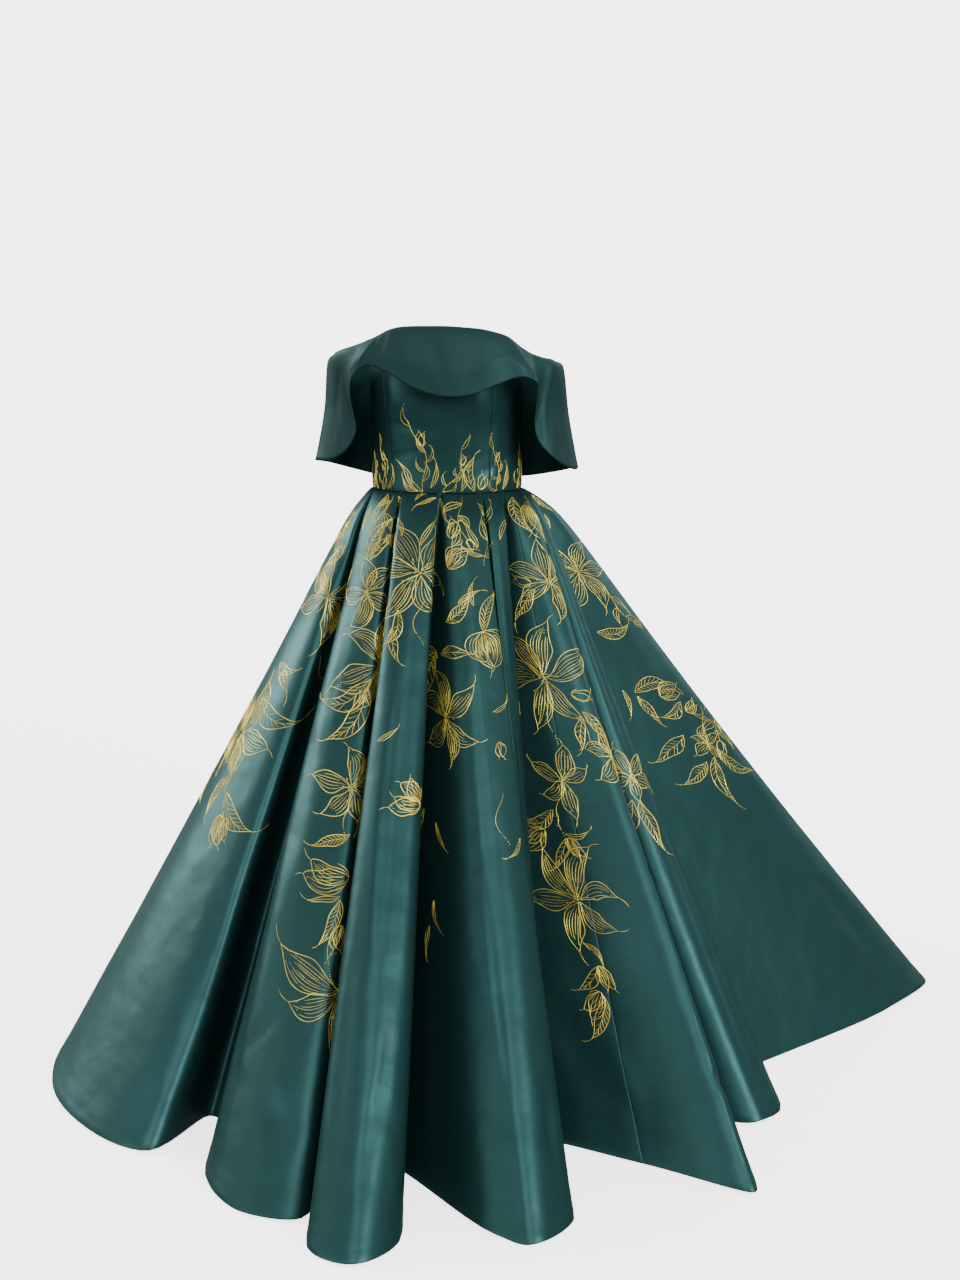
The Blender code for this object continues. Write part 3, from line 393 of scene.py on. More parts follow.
def curve(points: Sequence, steps: Sequence[int], closed: bool) -> Array:
    """Smooth curve through points, centripetal so that it never loops.

    Args:
        points: the points that it passes through.
        steps: how many parts each span gets, taken in turn.
        closed: whether the last point joins the first.

    Returns:
        The points of the curve, one row each.
    """
    points = np.asarray(points, dtype=float)
    count = len(points)
    spans = count if closed else count - 1
    parts_of_curve = []
    for span in range(spans):
        if closed:
            p0, p1, p2, p3 = (points[(span + k) % count] for k in (-1, 0, 1, 2))
        else:
            p1, p2 = points[span], points[span + 1]
            p0 = points[span - 1] if span > 0 else 2 * p1 - p2
            p3 = points[span + 2] if span + 2 < count else 2 * p2 - p1
        t1 = max(1e-6, np.linalg.norm(p1 - p0)) ** 0.5
        t2 = t1 + max(1e-6, np.linalg.norm(p2 - p1)) ** 0.5
        t3 = t2 + max(1e-6, np.linalg.norm(p3 - p2)) ** 0.5
        parts = steps[span % len(steps)]
        t = (t1 + (t2 - t1) * np.arange(parts) / parts)[:, None]
        a1 = (t1 - t) / t1 * p0 + t / t1 * p1
        a2 = (t2 - t) / (t2 - t1) * p1 + (t - t1) / (t2 - t1) * p2
        a3 = (t3 - t) / (t3 - t2) * p2 + (t - t2) / (t3 - t2) * p3
        b1 = (t2 - t) / t2 * a1 + t / t2 * a2
        b2 = (t3 - t) / (t3 - t1) * a2 + (t - t1) / (t3 - t1) * a3
        parts_of_curve.append((t2 - t) / (t2 - t1) * b1 + (t - t1) / (t2 - t1) * b2)
    if not closed:
        parts_of_curve.append(points[-1:])
    return np.vstack(parts_of_curve)


@dataclass
class Cloth:
    """A piece of cloth as a grid of points, rows going down.

    Columns go round towards the wearer's left, so that down crossed with
    ahead points out of the body.
    """

    points: Array
    closed: bool
    normals: Array = field(init=False)
    down: Array = field(init=False)
    steps: Array = field(init=False)

    def __post_init__(self) -> None:
        """Work out the normals and the distances along the cloth."""
        points = self.points
        if self.closed:
            after = np.roll(points, -1, axis=1)
            ahead = after - np.roll(points, 1, axis=1)
            self.steps = np.linalg.norm(after - points, axis=2)
        else:
            ahead = np.gradient(points, axis=1)
            widths = np.linalg.norm(np.diff(points, axis=1), axis=2)
            self.steps = np.hstack([widths, widths[:, -1:]])
        self.normals = unit(np.cross(np.gradient(points, axis=0), ahead))
        drops = np.linalg.norm(np.diff(points, axis=0), axis=2)
        self.down = np.vstack([np.zeros((1, points.shape[1])), np.cumsum(drops, axis=0)])

    @property
    def count(self) -> int:
        """Number of columns."""
        return self.points.shape[1]

    @property
    def across(self) -> Array:
        """Distance along each row from the first column."""
        return running(self.steps)[:, :-1]

    @property
    def to_hem(self) -> Array:
        """Distance down each column to the last row."""
        return self.down.max(axis=0)[None, :] - self.down

    def raised(self, heights: Array) -> "Cloth":
        """The same cloth moved out along its normals."""
        return Cloth(self.points + self.normals * heights[..., None], self.closed)

    def around(self, place: float) -> tuple[Array, Array]:
        """Columns of a closed cloth in order round a place.

        Args:
            place: a column of the grid, with its fraction.

        Returns:
            Column numbers, and distances to the right for each row.
        """
        low, middle = int(math.floor(place)), self.count // 2
        columns = (np.arange(self.count) - middle + low) % self.count
        steps = self.steps[:, columns]
        along = running(steps)[:, :-1]
        at = along[:, middle] + (place - low) * steps[:, middle]
        return columns, along - at[:, None]

    def down_line(self, place: float) -> Array:
        """Way down a closed cloth along one column.

        Args:
            place: a column of the grid, with its fraction.

        Returns:
            The way down at each row.
        """
        low = int(math.floor(place)) % self.count
        part = place - math.floor(place)
        return self.down[:, low] * (1.0 - part) + self.down[:, (low + 1) % self.count] * part

    def creased(self, creases: Sequence[Crease]) -> Array:
        """Lay creases, narrow and low at their ends, a faint swell beside.

        Args:
            creases: the creases, their places as columns of this grid.

        Returns:
            The height that they give each point of the grid.
        """
        end_width, more_width, swell, swell_reach = 0.55, 0.45, 0.28, 5.0
        heights = np.zeros(self.points.shape[:2])
        for crease in creases:
            columns, right = self.around(crease.place)
            lower = (self.down_line(crease.place) - crease.down)[:, None]
            path = np.array([(0.0, 0.0), *crease.path])
            lengths = np.linalg.norm(np.diff(path, axis=0), axis=1)
            total = lengths.sum()
            best = np.full(right.shape, 1e9)
            along = np.zeros(right.shape)
            done = 0.0
            for start, end, length in zip(path[:-1], path[1:], lengths):
                step = (end - start) / length
                reach = (right - start[0]) * step[0] + (lower - start[1]) * step[1]
                kept = np.clip(reach, 0.0, length)
                gap = np.hypot(
                    right - start[0] - kept * step[0], lower - start[1] - kept * step[1]
                )
                nearer = gap < best
                best = np.where(nearer, gap, best)
                along = np.where(nearer, (done + kept) / total, along)
                done += length
            spread = crease.width * (end_width + more_width * np.sin(math.pi * along))
            share = (best / spread) ** 2
            shape = np.exp(-share) - swell * np.exp(-share / swell_reach)
            taper = np.sin(math.pi * np.clip(0.06 + 0.90 * along, 0.0, 1.0)) ** 0.7
            heights[:, columns] += crease.height * shape * taper
        return heights

    def at(self, rows: Array, columns: Array) -> tuple[Array, Array]:
        """Read the cloth between its rows and columns.

        Args:
            rows: rows with their fractions.
            columns: columns with their fractions, as many.

        Returns:
            Points, and normals of length one.
        """
        low_row = np.clip(np.floor(rows).astype(int), 0, len(self.points) - 2)
        part_row = (rows - low_row)[:, None]
        low = np.floor(columns).astype(int)
        part = (columns - low)[:, None]
        low, high = low % self.count, (low + 1) % self.count
        found = []
        for table in (self.points, self.normals):
            upper = table[low_row, low] * (1 - part) + table[low_row, high] * part
            lower = table[low_row + 1, low] * (1 - part) + table[low_row + 1, high] * part
            found.append(upper * (1 - part_row) + lower * part_row)
        return found[0], unit(found[1])

    def place(self, place: float, down: float, flat: Array) -> tuple[Array, Array, Array]:
        """Lay points of a flat drawing on a closed cloth.

        Args:
            place: column of the drawing's own origin.
            down: way down the cloth of that origin.
            flat: points of the drawing, (right, down) in metres.

        Returns:
            Points, normals, and whether each point is on the cloth.
        """
        columns, right = self.around(place)
        line = self.down_line(place)
        wanted = down + flat[:, 1]
        inside = (wanted > line[0]) & (wanted < line[-1])
        rows = np.interp(wanted, line, np.arange(len(line)))
        low = np.clip(np.floor(rows).astype(int), 0, len(line) - 2)
        part = rows - low
        found = np.empty(len(flat))
        scale = np.arange(len(columns), dtype=float)
        for index in range(len(flat)):
            upper = np.interp(flat[index, 0], right[low[index]], scale)
            lower = np.interp(flat[index, 0], right[low[index] + 1], scale)
            found[index] = upper * (1.0 - part[index]) + lower * part[index]
        points, normals = self.at(rows, found + columns[0])
        return points, normals, inside


@dataclass(frozen=True)
class Undulation:
    """Slight seeded waviness that hung cloth always has."""

    seed: int
    waves: int
    rounds: tuple[int, int]
    down_rate: float
    height: float

    def over(self, cloth: Cloth) -> Array:
        """Add up waves that run round a closed cloth.

        Args:
            cloth: the cloth.

        Returns:
            The height that they give each point of its grid.
        """
        random = np.random.default_rng(self.seed)
        turn = np.arange(cloth.count) / cloth.count
        heights = np.zeros(cloth.points.shape[:2])
        for _ in range(self.waves):
            rounds = int(random.integers(*self.rounds))
            rate = random.uniform(-self.down_rate, self.down_rate)
            phase = random.uniform(0.0, 1.0)
            angle = 2.0 * math.pi * (rounds * turn[None, :] + rate * cloth.down + phase)
            heights += np.sin(angle) * random.uniform(0.5, 1.0)
        return heights * self.height / math.sqrt(self.waves)


@dataclass(frozen=True)
class Shell:
    """How a panel is cut from its cloth and given a thickness."""

    thick: float
    rim: float = 0.45
    seam_dip: float = 0.0007
    seam_reach: float = 0.0030
    seam_near: float = 0.35
    side_bulge: float = 0.00005

    def cut(self, cloth: Cloth, start: int, end: int) -> tuple[Array, Array]:
        """Take a panel between two columns, its seam edges dipped.

        Args:
            cloth: the whole cloth.
            start: first column.
            end: last column; past the count it goes on from the first.

        Returns:
            The panel's points and its places on the flat cloth.
        """
        columns = np.arange(start, end + 1) % cloth.count
        across = running(cloth.steps[:, columns[:-1]])
        whole = np.dstack([cloth.points[:, columns], across, cloth.down[:, columns]])
        facing = np.dstack([cloth.normals[:, columns], np.zeros((*across.shape, 2))])
        sides = []
        for edge, inner in ((0, 1), (-1, -2)):
            ahead = whole[:, inner] - whole[:, edge]
            length = np.linalg.norm(ahead[:, :3], axis=1, keepdims=True)
            reach = ahead / length * np.minimum(self.seam_reach, 0.45 * length)
            dip = facing[:, edge] * np.minimum(self.seam_dip, 0.4 * length)
            for away, sunk in ((0.0, 1.0), (self.seam_near, self.seam_near), (1.0, 0.0)):
                sides.append(whole[:, edge] + reach * away - dip * sunk)
        middle = whole[:, 1:-1].transpose(1, 0, 2)
        grid = np.stack([*sides[:3], *middle, *sides[:2:-1]], axis=1)
        return grid[..., :3].copy(), grid[..., 3:].copy()

    def mesh(
        self, name: str, grid: Array, places: Array, thickness: Array | None = None
    ) -> Mesh:
        """Closed thin shell with a rounded rim, inner faces in slot 1.

        Args:
            name: name of the mesh.
            grid: outer points, rows and columns.
            places: the same points on the flat cloth.
            thickness: thickness of each row, if it changes.

        Returns:
            The mesh, with a UV map in metres.
        """
        rows, columns = grid.shape[:2]
        thick = np.full(rows, self.thick) if thickness is None else thickness
        inner = grid - Cloth(grid, False).normals * thick[:, None, None]
        out = np.zeros_like(grid)
        for edge, beside in ((0, 1), (-1, -2)):
            out[edge] += unit(grid[edge] - grid[beside]) * (self.rim * self.thick)
            out[:, edge] += unit(grid[:, edge] - grid[:, beside]) * self.side_bulge
        number = np.arange(rows * columns).reshape(rows, columns)
        edge = [number[0], number[1:, -1], number[-1, -2::-1], number[-2:0:-1, 0]]
        edge = np.concatenate(edge)
        rim = ((grid + inner) / 2.0 + out).reshape(-1, 3)[edge]
        a, b = number[:-1, :-1], number[1:, :-1]
        c, d = number[1:, 1:], number[:-1, 1:]
        half = rows * columns
        outer_faces = np.stack([a, b, c, d], axis=2).reshape(-1, 4)
        inner_faces = np.stack([a, d, c, b], axis=2).reshape(-1, 4) + half
        middle = 2 * half + np.arange(len(edge))
        after, middle_after = np.roll(edge, -1), np.roll(middle, -1)
        rim_outer = np.stack([edge, after, middle_after, middle], axis=1)
        rim_inner = np.stack([middle, middle_after, after + half, edge + half], axis=1)
        faces = np.vstack([outer_faces, rim_outer, rim_inner, inner_faces])
        vertices = np.vstack([grid.reshape(-1, 3), inner.reshape(-1, 3), rim])
        mesh = bpy.data.meshes.new(name)
        mesh.from_pydata(vertices.tolist(), [], faces.tolist())
        mesh.update()
        flat = places.reshape(-1, 2)
        flat = np.vstack([flat, flat, flat[edge]])
        layer = mesh.uv_layers.new(name="cloth")
        layer.data.foreach_set("uv", flat[faces.ravel()].ravel())
        slots = np.zeros(len(faces), dtype=np.int32)
        slots[len(outer_faces) + len(rim_outer) :] = 1
        mesh.polygons.foreach_set("material_index", slots)
        mesh.shade_smooth()
        return mesh


class Tree:
    """A node tree being built, with short calls for nodes and links."""

    def __init__(self, tree: NodeTree) -> None:
        """Start from an existing tree."""
        self.tree = tree

    def node(self, kind: str, inputs: dict | None = None, **settings: object) -> bpy.types.Node:
        """Add a node.

        Args:
            kind: the node's type.
            inputs: socket or value for its inputs, by name or number.
            settings: the node's own settings.

        Returns:
            The node.
        """
        made = self.tree.nodes.new(kind)
        for key, value in settings.items():
            setattr(made, key, value)
        for key, source in (inputs or {}).items():
            self.put(made.inputs[key], source)
        return made

    def put(self, target: Socket, source: object) -> None:
        """Link a socket to the target, or set its value; None leaves it.

        Args:
            target: the input to fill.
            source: a socket or a value.
        """
        if isinstance(source, Socket):
            self.tree.links.new(source, target)
        elif source is not None:
            target.default_value = source

    def math(self, operation: str, first: object, second: object) -> Socket:
        """Result of one math operation."""
        inputs = {0: first, 1: second}
        return self.node("ShaderNodeMath", inputs, operation=operation).outputs[0]

    def noise(self, vector: object, scale: object, detail: float, rough: float = 0.5) -> Socket:
        """Smooth noise around one half."""
        inputs = {"Vector": vector, "Scale": scale, "Detail": detail, "Roughness": rough}
        return self.node("ShaderNodeTexNoise", inputs).outputs[0]

    def stretch(self, vector: object, scale: object) -> Socket:
        """A vector stretched along its axes."""
        return self.node("ShaderNodeMapping", {"Vector": vector, "Scale": scale}).outputs[0]

    def spread(self, value: object, *limits: float) -> Socket:
        """Map a range (low, high) onto another (low, high), clamped."""
        return self.node("ShaderNodeMapRange", dict(enumerate((value, *limits)))).outputs[0]

    def blend(self, share: object, first: Colour, second: Colour) -> Socket:
        """Mix of two colours."""
        inputs = {0: share, 6: (*first, 1.0), 7: (*second, 1.0)}
        return self.node("ShaderNodeMix", inputs, data_type="RGBA").outputs[2]

    def bump(self, height: object, strength: float, depth: float, under: object = None) -> Socket:
        """Normal from a height, over another normal if there is one."""
        inputs = {"Height": height, "Normal": under, "Strength": strength, "Distance": depth}
        return self.node("ShaderNodeBump", inputs).outputs[0]


def effect(name: str, inputs: dict[str, object], outputs: Sequence[str]) -> tuple:
    """Start a shader node group.

    Args:
        name: name of the group.
        inputs: starting value of each input number; None for a vector.
        outputs: names of the numbers that it puts out.

    Returns:
        The tree, its inputs to read and its outputs to fill.
    """
    group = bpy.data.node_groups.new(name, "ShaderNodeTree")
    for key, value in inputs.items():
        kind = "NodeSocketVector" if value is None else "NodeSocketFloat"
        socket = group.interface.new_socket(key, in_out="INPUT", socket_type=kind)
        if value is not None:
            socket.default_value = value
    for key in outputs:
        group.interface.new_socket(key, in_out="OUTPUT", socket_type="NodeSocketFloat")
    tree = Tree(group)
    return tree, tree.node("NodeGroupInput").outputs, tree.node("NodeGroupOutput").inputs


def weave_effect() -> NodeTree:
    """Crosswise threads of the satin: fine ones and broader bands.

    Returns:
        The group, which puts out a height and a tone.
    """
    starts = {"Place": None, "Threads": 900.0, "Bands": 260.0}
    tree, inside, out = effect("satin_weave", starts, ("Height", "Tone"))
    layers = []
    for key, run, detail in (("Threads", 0.05, 1.0), ("Bands", 0.04, 2.0)):
        along = tree.math("MULTIPLY", inside[key], run)
        scale = tree.node("ShaderNodeCombineXYZ", {0: along, 1: inside[key]}).outputs[0]
        layers.append(tree.noise(tree.stretch(inside["Place"], scale), 1.0, detail))
    fine, bands = layers
    height = tree.math("ADD", tree.math("MULTIPLY", fine, 0.6), tree.math("MULTIPLY", bands, 0.4))
    tree.put(out["Height"], height)
    tree.put(out["Tone"], tree.spread(bands, 0.30, 0.70, 0.0, 1.0))
    return tree.tree


def mottle_effect() -> NodeTree:
    """Slow change over the surface, from the place in the object.

    Returns:
        The group, which puts out a tone and the height of its dimples.
    """
    starts = {"Place": None, "Size": 4.0}
    tree, inside, out = effect("soft_mottle", starts, ("Tone", "Dimples"))
    noise = tree.noise(inside["Place"], inside["Size"], 3.0, 0.45)
    tree.put(out["Tone"], tree.spread(noise, 0.3, 0.7, 0.0, 1.0))
    finer = tree.math("MULTIPLY", inside["Size"], 3.6)
    tree.put(out["Dimples"], tree.noise(inside["Place"], finer, 2.0, 0.4))
    return tree.tree


@dataclass(frozen=True)
class Finish:
    """What every finish of the gown has."""

    name: str
    deep: Colour
    light: Colour
    metallic: float
    roughness: float

    def start(self, mottle: NodeTree) -> tuple[Material, Tree]:
        """Start the material, with the slow change of tone in it.

        Args:
            mottle: the shared effect.

        Returns:
            The material and its tree, with nodes "Place" and "Mottle".
        """
        material = bpy.data.materials.new(self.name)
        material.use_nodes = True
        tree = Tree(material.node_tree)
        place = tree.node("ShaderNodeTexCoord", name="Place")
        inputs = {"Place": place.outputs["Object"]}
        tree.node("ShaderNodeGroup", inputs, node_tree=mottle, name="Mottle")
        shader = material.node_tree.nodes["Principled BSDF"]
        shader.inputs["Metallic"].default_value = self.metallic
        return material, tree


@dataclass(frozen=True)
class SatinFinish(Finish):
    """Heavy satin: low colour, broad tinted gloss, crosswise threads."""

    rough_spread: float
    sheen: float
    weave_strength: float
    weave_depth: float = 0.0004
    weave_share: float = 0.32
    mottle_share: float = 0.68
    dimple_depth: float = 0.0060
    surface_gloss: float = 0.22
    gloss_tint: Colour = (0.68, 0.96, 0.95)

    def build(self, weave: NodeTree, mottle: NodeTree) -> Material:
        """Make the material.

        Args:
            weave: the shared effect of threads.
            mottle: the shared effect of slow change.

        Returns:
            The material.
        """
        material, tree = self.start(mottle)
        nodes = material.node_tree.nodes
        shader, slow = nodes["Principled BSDF"].inputs, nodes["Mottle"].outputs
        inputs = {"Place": nodes["Place"].outputs["UV"]}
        threads = tree.node("ShaderNodeGroup", inputs, node_tree=weave).outputs
        mix = tree.math(
            "ADD",
            tree.math("MULTIPLY", threads["Tone"], self.weave_share),
            tree.math("MULTIPLY", slow["Tone"], self.mottle_share),
        )
        rough, change = self.roughness, self.rough_spread
        dimples = tree.bump(slow["Dimples"], 0.5, self.dimple_depth)
        height = threads["Height"]
        for key, source in {
            "Base Color": tree.blend(mix, self.deep, self.light),
            "Roughness": tree.spread(mix, 0.0, 1.0, rough + change, rough - change),
            "Specular IOR Level": self.surface_gloss,
            "Specular Tint": (*self.gloss_tint, 1.0),
            "Sheen Weight": self.sheen,
            "Sheen Roughness": 0.45,
            "Sheen Tint": (*self.light, 1.0),
            "Normal": tree.bump(height, self.weave_strength, self.weave_depth, dimples),
        }.items():
            tree.put(shader[key], source)
        return material


@dataclass(frozen=True)
class MetalFinish(Finish):
    """Printed gold or the painted metal of the zip."""

    grain: float
    grain_depth: float = 0.0003

    def build(self, mottle: NodeTree) -> Material:
        """Make the material.

        Args:
            mottle: the shared effect of slow change, here at the grain's size.

        Returns:
            The material.
        """
        material, tree = self.start(mottle)
        nodes = material.node_tree.nodes
        shader, tone = nodes["Principled BSDF"].inputs, nodes["Mottle"].outputs["Tone"]
        nodes["Mottle"].inputs["Size"].default_value = self.grain
        rough = tree.spread(tone, 0.0, 1.0, self.roughness + 0.1, self.roughness - 0.06)
        tree.put(shader["Base Color"], tree.blend(tone, self.deep, self.light))
        tree.put(shader["Roughness"], rough)
        tree.put(shader["Normal"], tree.bump(tone, 0.25, self.grain_depth))
        return material


class Finishes:
    """Every finish of the gown, built once."""

    def __init__(self) -> None:
        """Build the shared effects and the materials."""
        weave, mottle = weave_effect(), mottle_effect()
        self.satin = SatinFinish(
            "green_satin", (0.0098, 0.035, 0.0340), (0.0142, 0.045, 0.0440),
            metallic=0.66, roughness=0.435, rough_spread=0.03, sheen=0.02, weave_strength=0.09,
        ).build(weave, mottle)
        # The collar is the skirt's satin with its colours darkened to about six tenths: painted
        # shade for the dimmer collar. Its gloss is also rougher and less metallic.
        self.shaded_collar_satin = SatinFinish(
            "green_satin_collar_painted_shade", (0.0057, 0.0212, 0.0203), (0.0079, 0.0276, 0.0267),
            metallic=0.50, roughness=0.56, rough_spread=0.03, sheen=0.02, weave_strength=0.08,
        ).build(weave, mottle)
        self.lining = SatinFinish(
            "satin_back", (0.006, 0.030, 0.028), (0.010, 0.044, 0.041),
            metallic=0.10, roughness=0.70, rough_spread=0.05, sheen=0.05, weave_strength=0.20,
        ).build(weave, mottle)
        self.tape = SatinFinish(
            "zip_tape_weave", (0.008, 0.040, 0.037), (0.014, 0.060, 0.056),
            metallic=0.0, roughness=0.80, rough_spread=0.04, sheen=0.10, weave_strength=0.45,
        ).build(weave, mottle)
        self.gold = MetalFinish(
            "gold_print", (0.46, 0.30, 0.022), (1.0, 0.86, 0.11),
            metallic=0.62, roughness=0.38, grain=34.0,
        ).build(mottle)
        self.zip_metal = MetalFinish(
            "zip_metal", (0.030, 0.080, 0.075), (0.060, 0.120, 0.112),
            metallic=0.85, roughness=0.34, grain=900.0,
        ).build(mottle)


def link(name: str, mesh: Mesh) -> Piece:
    """Put a mesh into the scene as a piece at the origin.

    Args:
        name: the piece's name.
        mesh: its mesh.

    Returns:
        The piece.
    """
    piece = bpy.data.objects.new(name, mesh)
    bpy.context.scene.collection.objects.link(piece)
    return piece


def applied(piece: Piece) -> Mesh:
    """Put a piece's modifiers into its mesh and remove them.

    Args:
        piece: the piece.

    Returns:
        Its new mesh.
    """
    graph = bpy.context.evaluated_depsgraph_get()
    made = bpy.data.meshes.new_from_object(piece.evaluated_get(graph), depsgraph=graph)
    piece.modifiers.clear()
    piece.data = made
    return made


def dress(
    piece: Piece,
    materials: Sequence[Material],
    node: str = "",
    body: str = GOWN_BODY,
) -> Piece:
    """Give a piece its finishes and tie it to the CAD.

    Args:
        piece: the piece.
        materials: its materials in slot order.
        node: the CAD node that it stands for, if any.
        body: the CAD body that it moves with.

    Returns:
        The piece.
    """
    for material in materials:
        piece.data.materials.append(material)
    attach(piece, body)
    if node:
        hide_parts(node)
    count = sum(len(face.vertices) - 2 for face in piece.data.polygons)
    LOG.info("%s: %d triangles", piece.name, count)
    return piece


POINT_VALUES = {"facing": "FLOAT_VECTOR", "along": "FLOAT_VECTOR", "size": "FLOAT"}


def repeat_tree(name: str, shape: Repeat) -> NodeTree:
    """Geometry Nodes tree that puts a small shape on each point.

    Args:
        name: name of the tree.
        shape: what is repeated.

    Returns:
        The tree, with inputs for the sizes and the material.
    """
    group = bpy.data.node_groups.new(name, "GeometryNodeTree")
    for key, way, kind in (
        ("Points", "INPUT", "Geometry"),
        ("Length", "INPUT", "Float"),
        ("Width", "INPUT", "Float"),
        ("Height", "INPUT", "Float"),
        ("Finish", "INPUT", "Material"),
        ("Result", "OUTPUT", "Geometry"),
    ):
        group.interface.new_socket(key, in_out=way, socket_type="NodeSocket" + kind)
    tree = Tree(group)
    inside = tree.node("NodeGroupInput").outputs
    if shape is Repeat.TOOTH:
        small = tree.node("GeometryNodeMeshCube", {"Size": (2.0, 2.0, 2.0)})
    else:
        sizes = {"Segments": 6, "Rings": 4, "Radius": 1.0}
        small = tree.node("GeometryNodeMeshUVSphere", sizes)
    lengths = {0: inside["Length"], 1: inside["Width"], 2: inside["Height"]}
    scale = tree.node("ShaderNodeCombineXYZ", lengths).outputs[0]
    sized = tree.node("GeometryNodeTransform", {"Geometry": small.outputs["Mesh"], "Scale": scale})
    facing, along, size = (
        tree.node("GeometryNodeInputNamedAttribute", {"Name": key}, data_type=kind)
        .outputs["Attribute"]
        for key, kind in POINT_VALUES.items()
    )
    upright = tree.node("FunctionNodeAlignRotationToVector", {"Vector": facing}, axis="Z")
    turned = tree.node(
        "FunctionNodeAlignRotationToVector",
        {"Rotation": upright.outputs[0], "Vector": along},
        axis="X",
        pivot_axis="Z",
    )
    spread = {"Points": inside["Points"], "Instance": sized.outputs["Geometry"]}
    spread |= {"Rotation": turned.outputs[0], "Scale": size}
    made = tree.node("GeometryNodeInstanceOnPoints", spread).outputs["Instances"]
    for kind in ("RealizeInstances", "SetShadeSmooth", "SetMaterial"):
        last = tree.node("GeometryNode" + kind, {"Geometry": made})
        made = last.outputs["Geometry"]
    tree.put(last.inputs["Material"], inside["Finish"])
    tree.node("NodeGroupOutput", {"Result": made})
    return group


def repeated(
    name: str,
    shape: Repeat,
    proportions: tuple[float, float, float],
    material: Material,
    points: Array,
    facing: Array,
    along: Array,
    sizes: Array | None = None,
) -> Piece:
    """Repeat a small shape on points with Geometry Nodes.

    Args:
        name: name of the piece.
        shape: what is repeated.
        proportions: half length, half width and half height at scale one.
        material: its finish.
        points: where, one row each.
        facing: which way each one's top faces.
        along: which way each one runs.
        sizes: scale of each, one if not given.

    Returns:
        The piece as a plain mesh.
    """
    mesh = bpy.data.meshes.new(name)
    mesh.from_pydata(points.tolist(), [], [])
    values = (facing, along, np.ones(len(points)) if sizes is None else sizes)
    for (key, kind), data in zip(POINT_VALUES.items(), values):
        layer = mesh.attributes.new(key, kind, "POINT")
        layer.data.foreach_set("value" if kind == "FLOAT" else "vector", np.ravel(data))
    piece = link(name, mesh)
    tree = bpy.data.node_groups.get("repeat_" + shape.value)
    tree = tree or repeat_tree("repeat_" + shape.value, shape)
    modifier = piece.modifiers.new("repeat", "NODES")
    modifier.node_group = tree
    inputs = dict(zip(("Length", "Width", "Height", "Finish"), (*proportions, material)))
    for socket in tree.interface.items_tree:
        if socket.in_out == "INPUT" and socket.name in inputs:
            modifier[socket.identifier] = inputs[socket.name]
    made = applied(piece)
    for key in POINT_VALUES:
        if key in made.attributes:
            made.attributes.remove(made.attributes[key])
    return piece


class Lay(NamedTuple):
    """Start, heading, length and bend of a drawn part, angles in degrees."""

    base: Point
    heading: float
    length: float
    bend: float


ORIGIN = (0.0, 0.0)
OUTLINE = 0.00104
VEIN = 0.00062
FINE = 0.00060
STROKE_STEP = 0.0050
SHORTEST = 0.002
VEIN_PITCH = 0.0070
SIDE_VEIN_PITCH = 0.0090
SPINE_PARTS = 21
SMALL_LEAF = 0.065
SMALL_SPRAY = 0.14
SMALL_BUD = 0.04


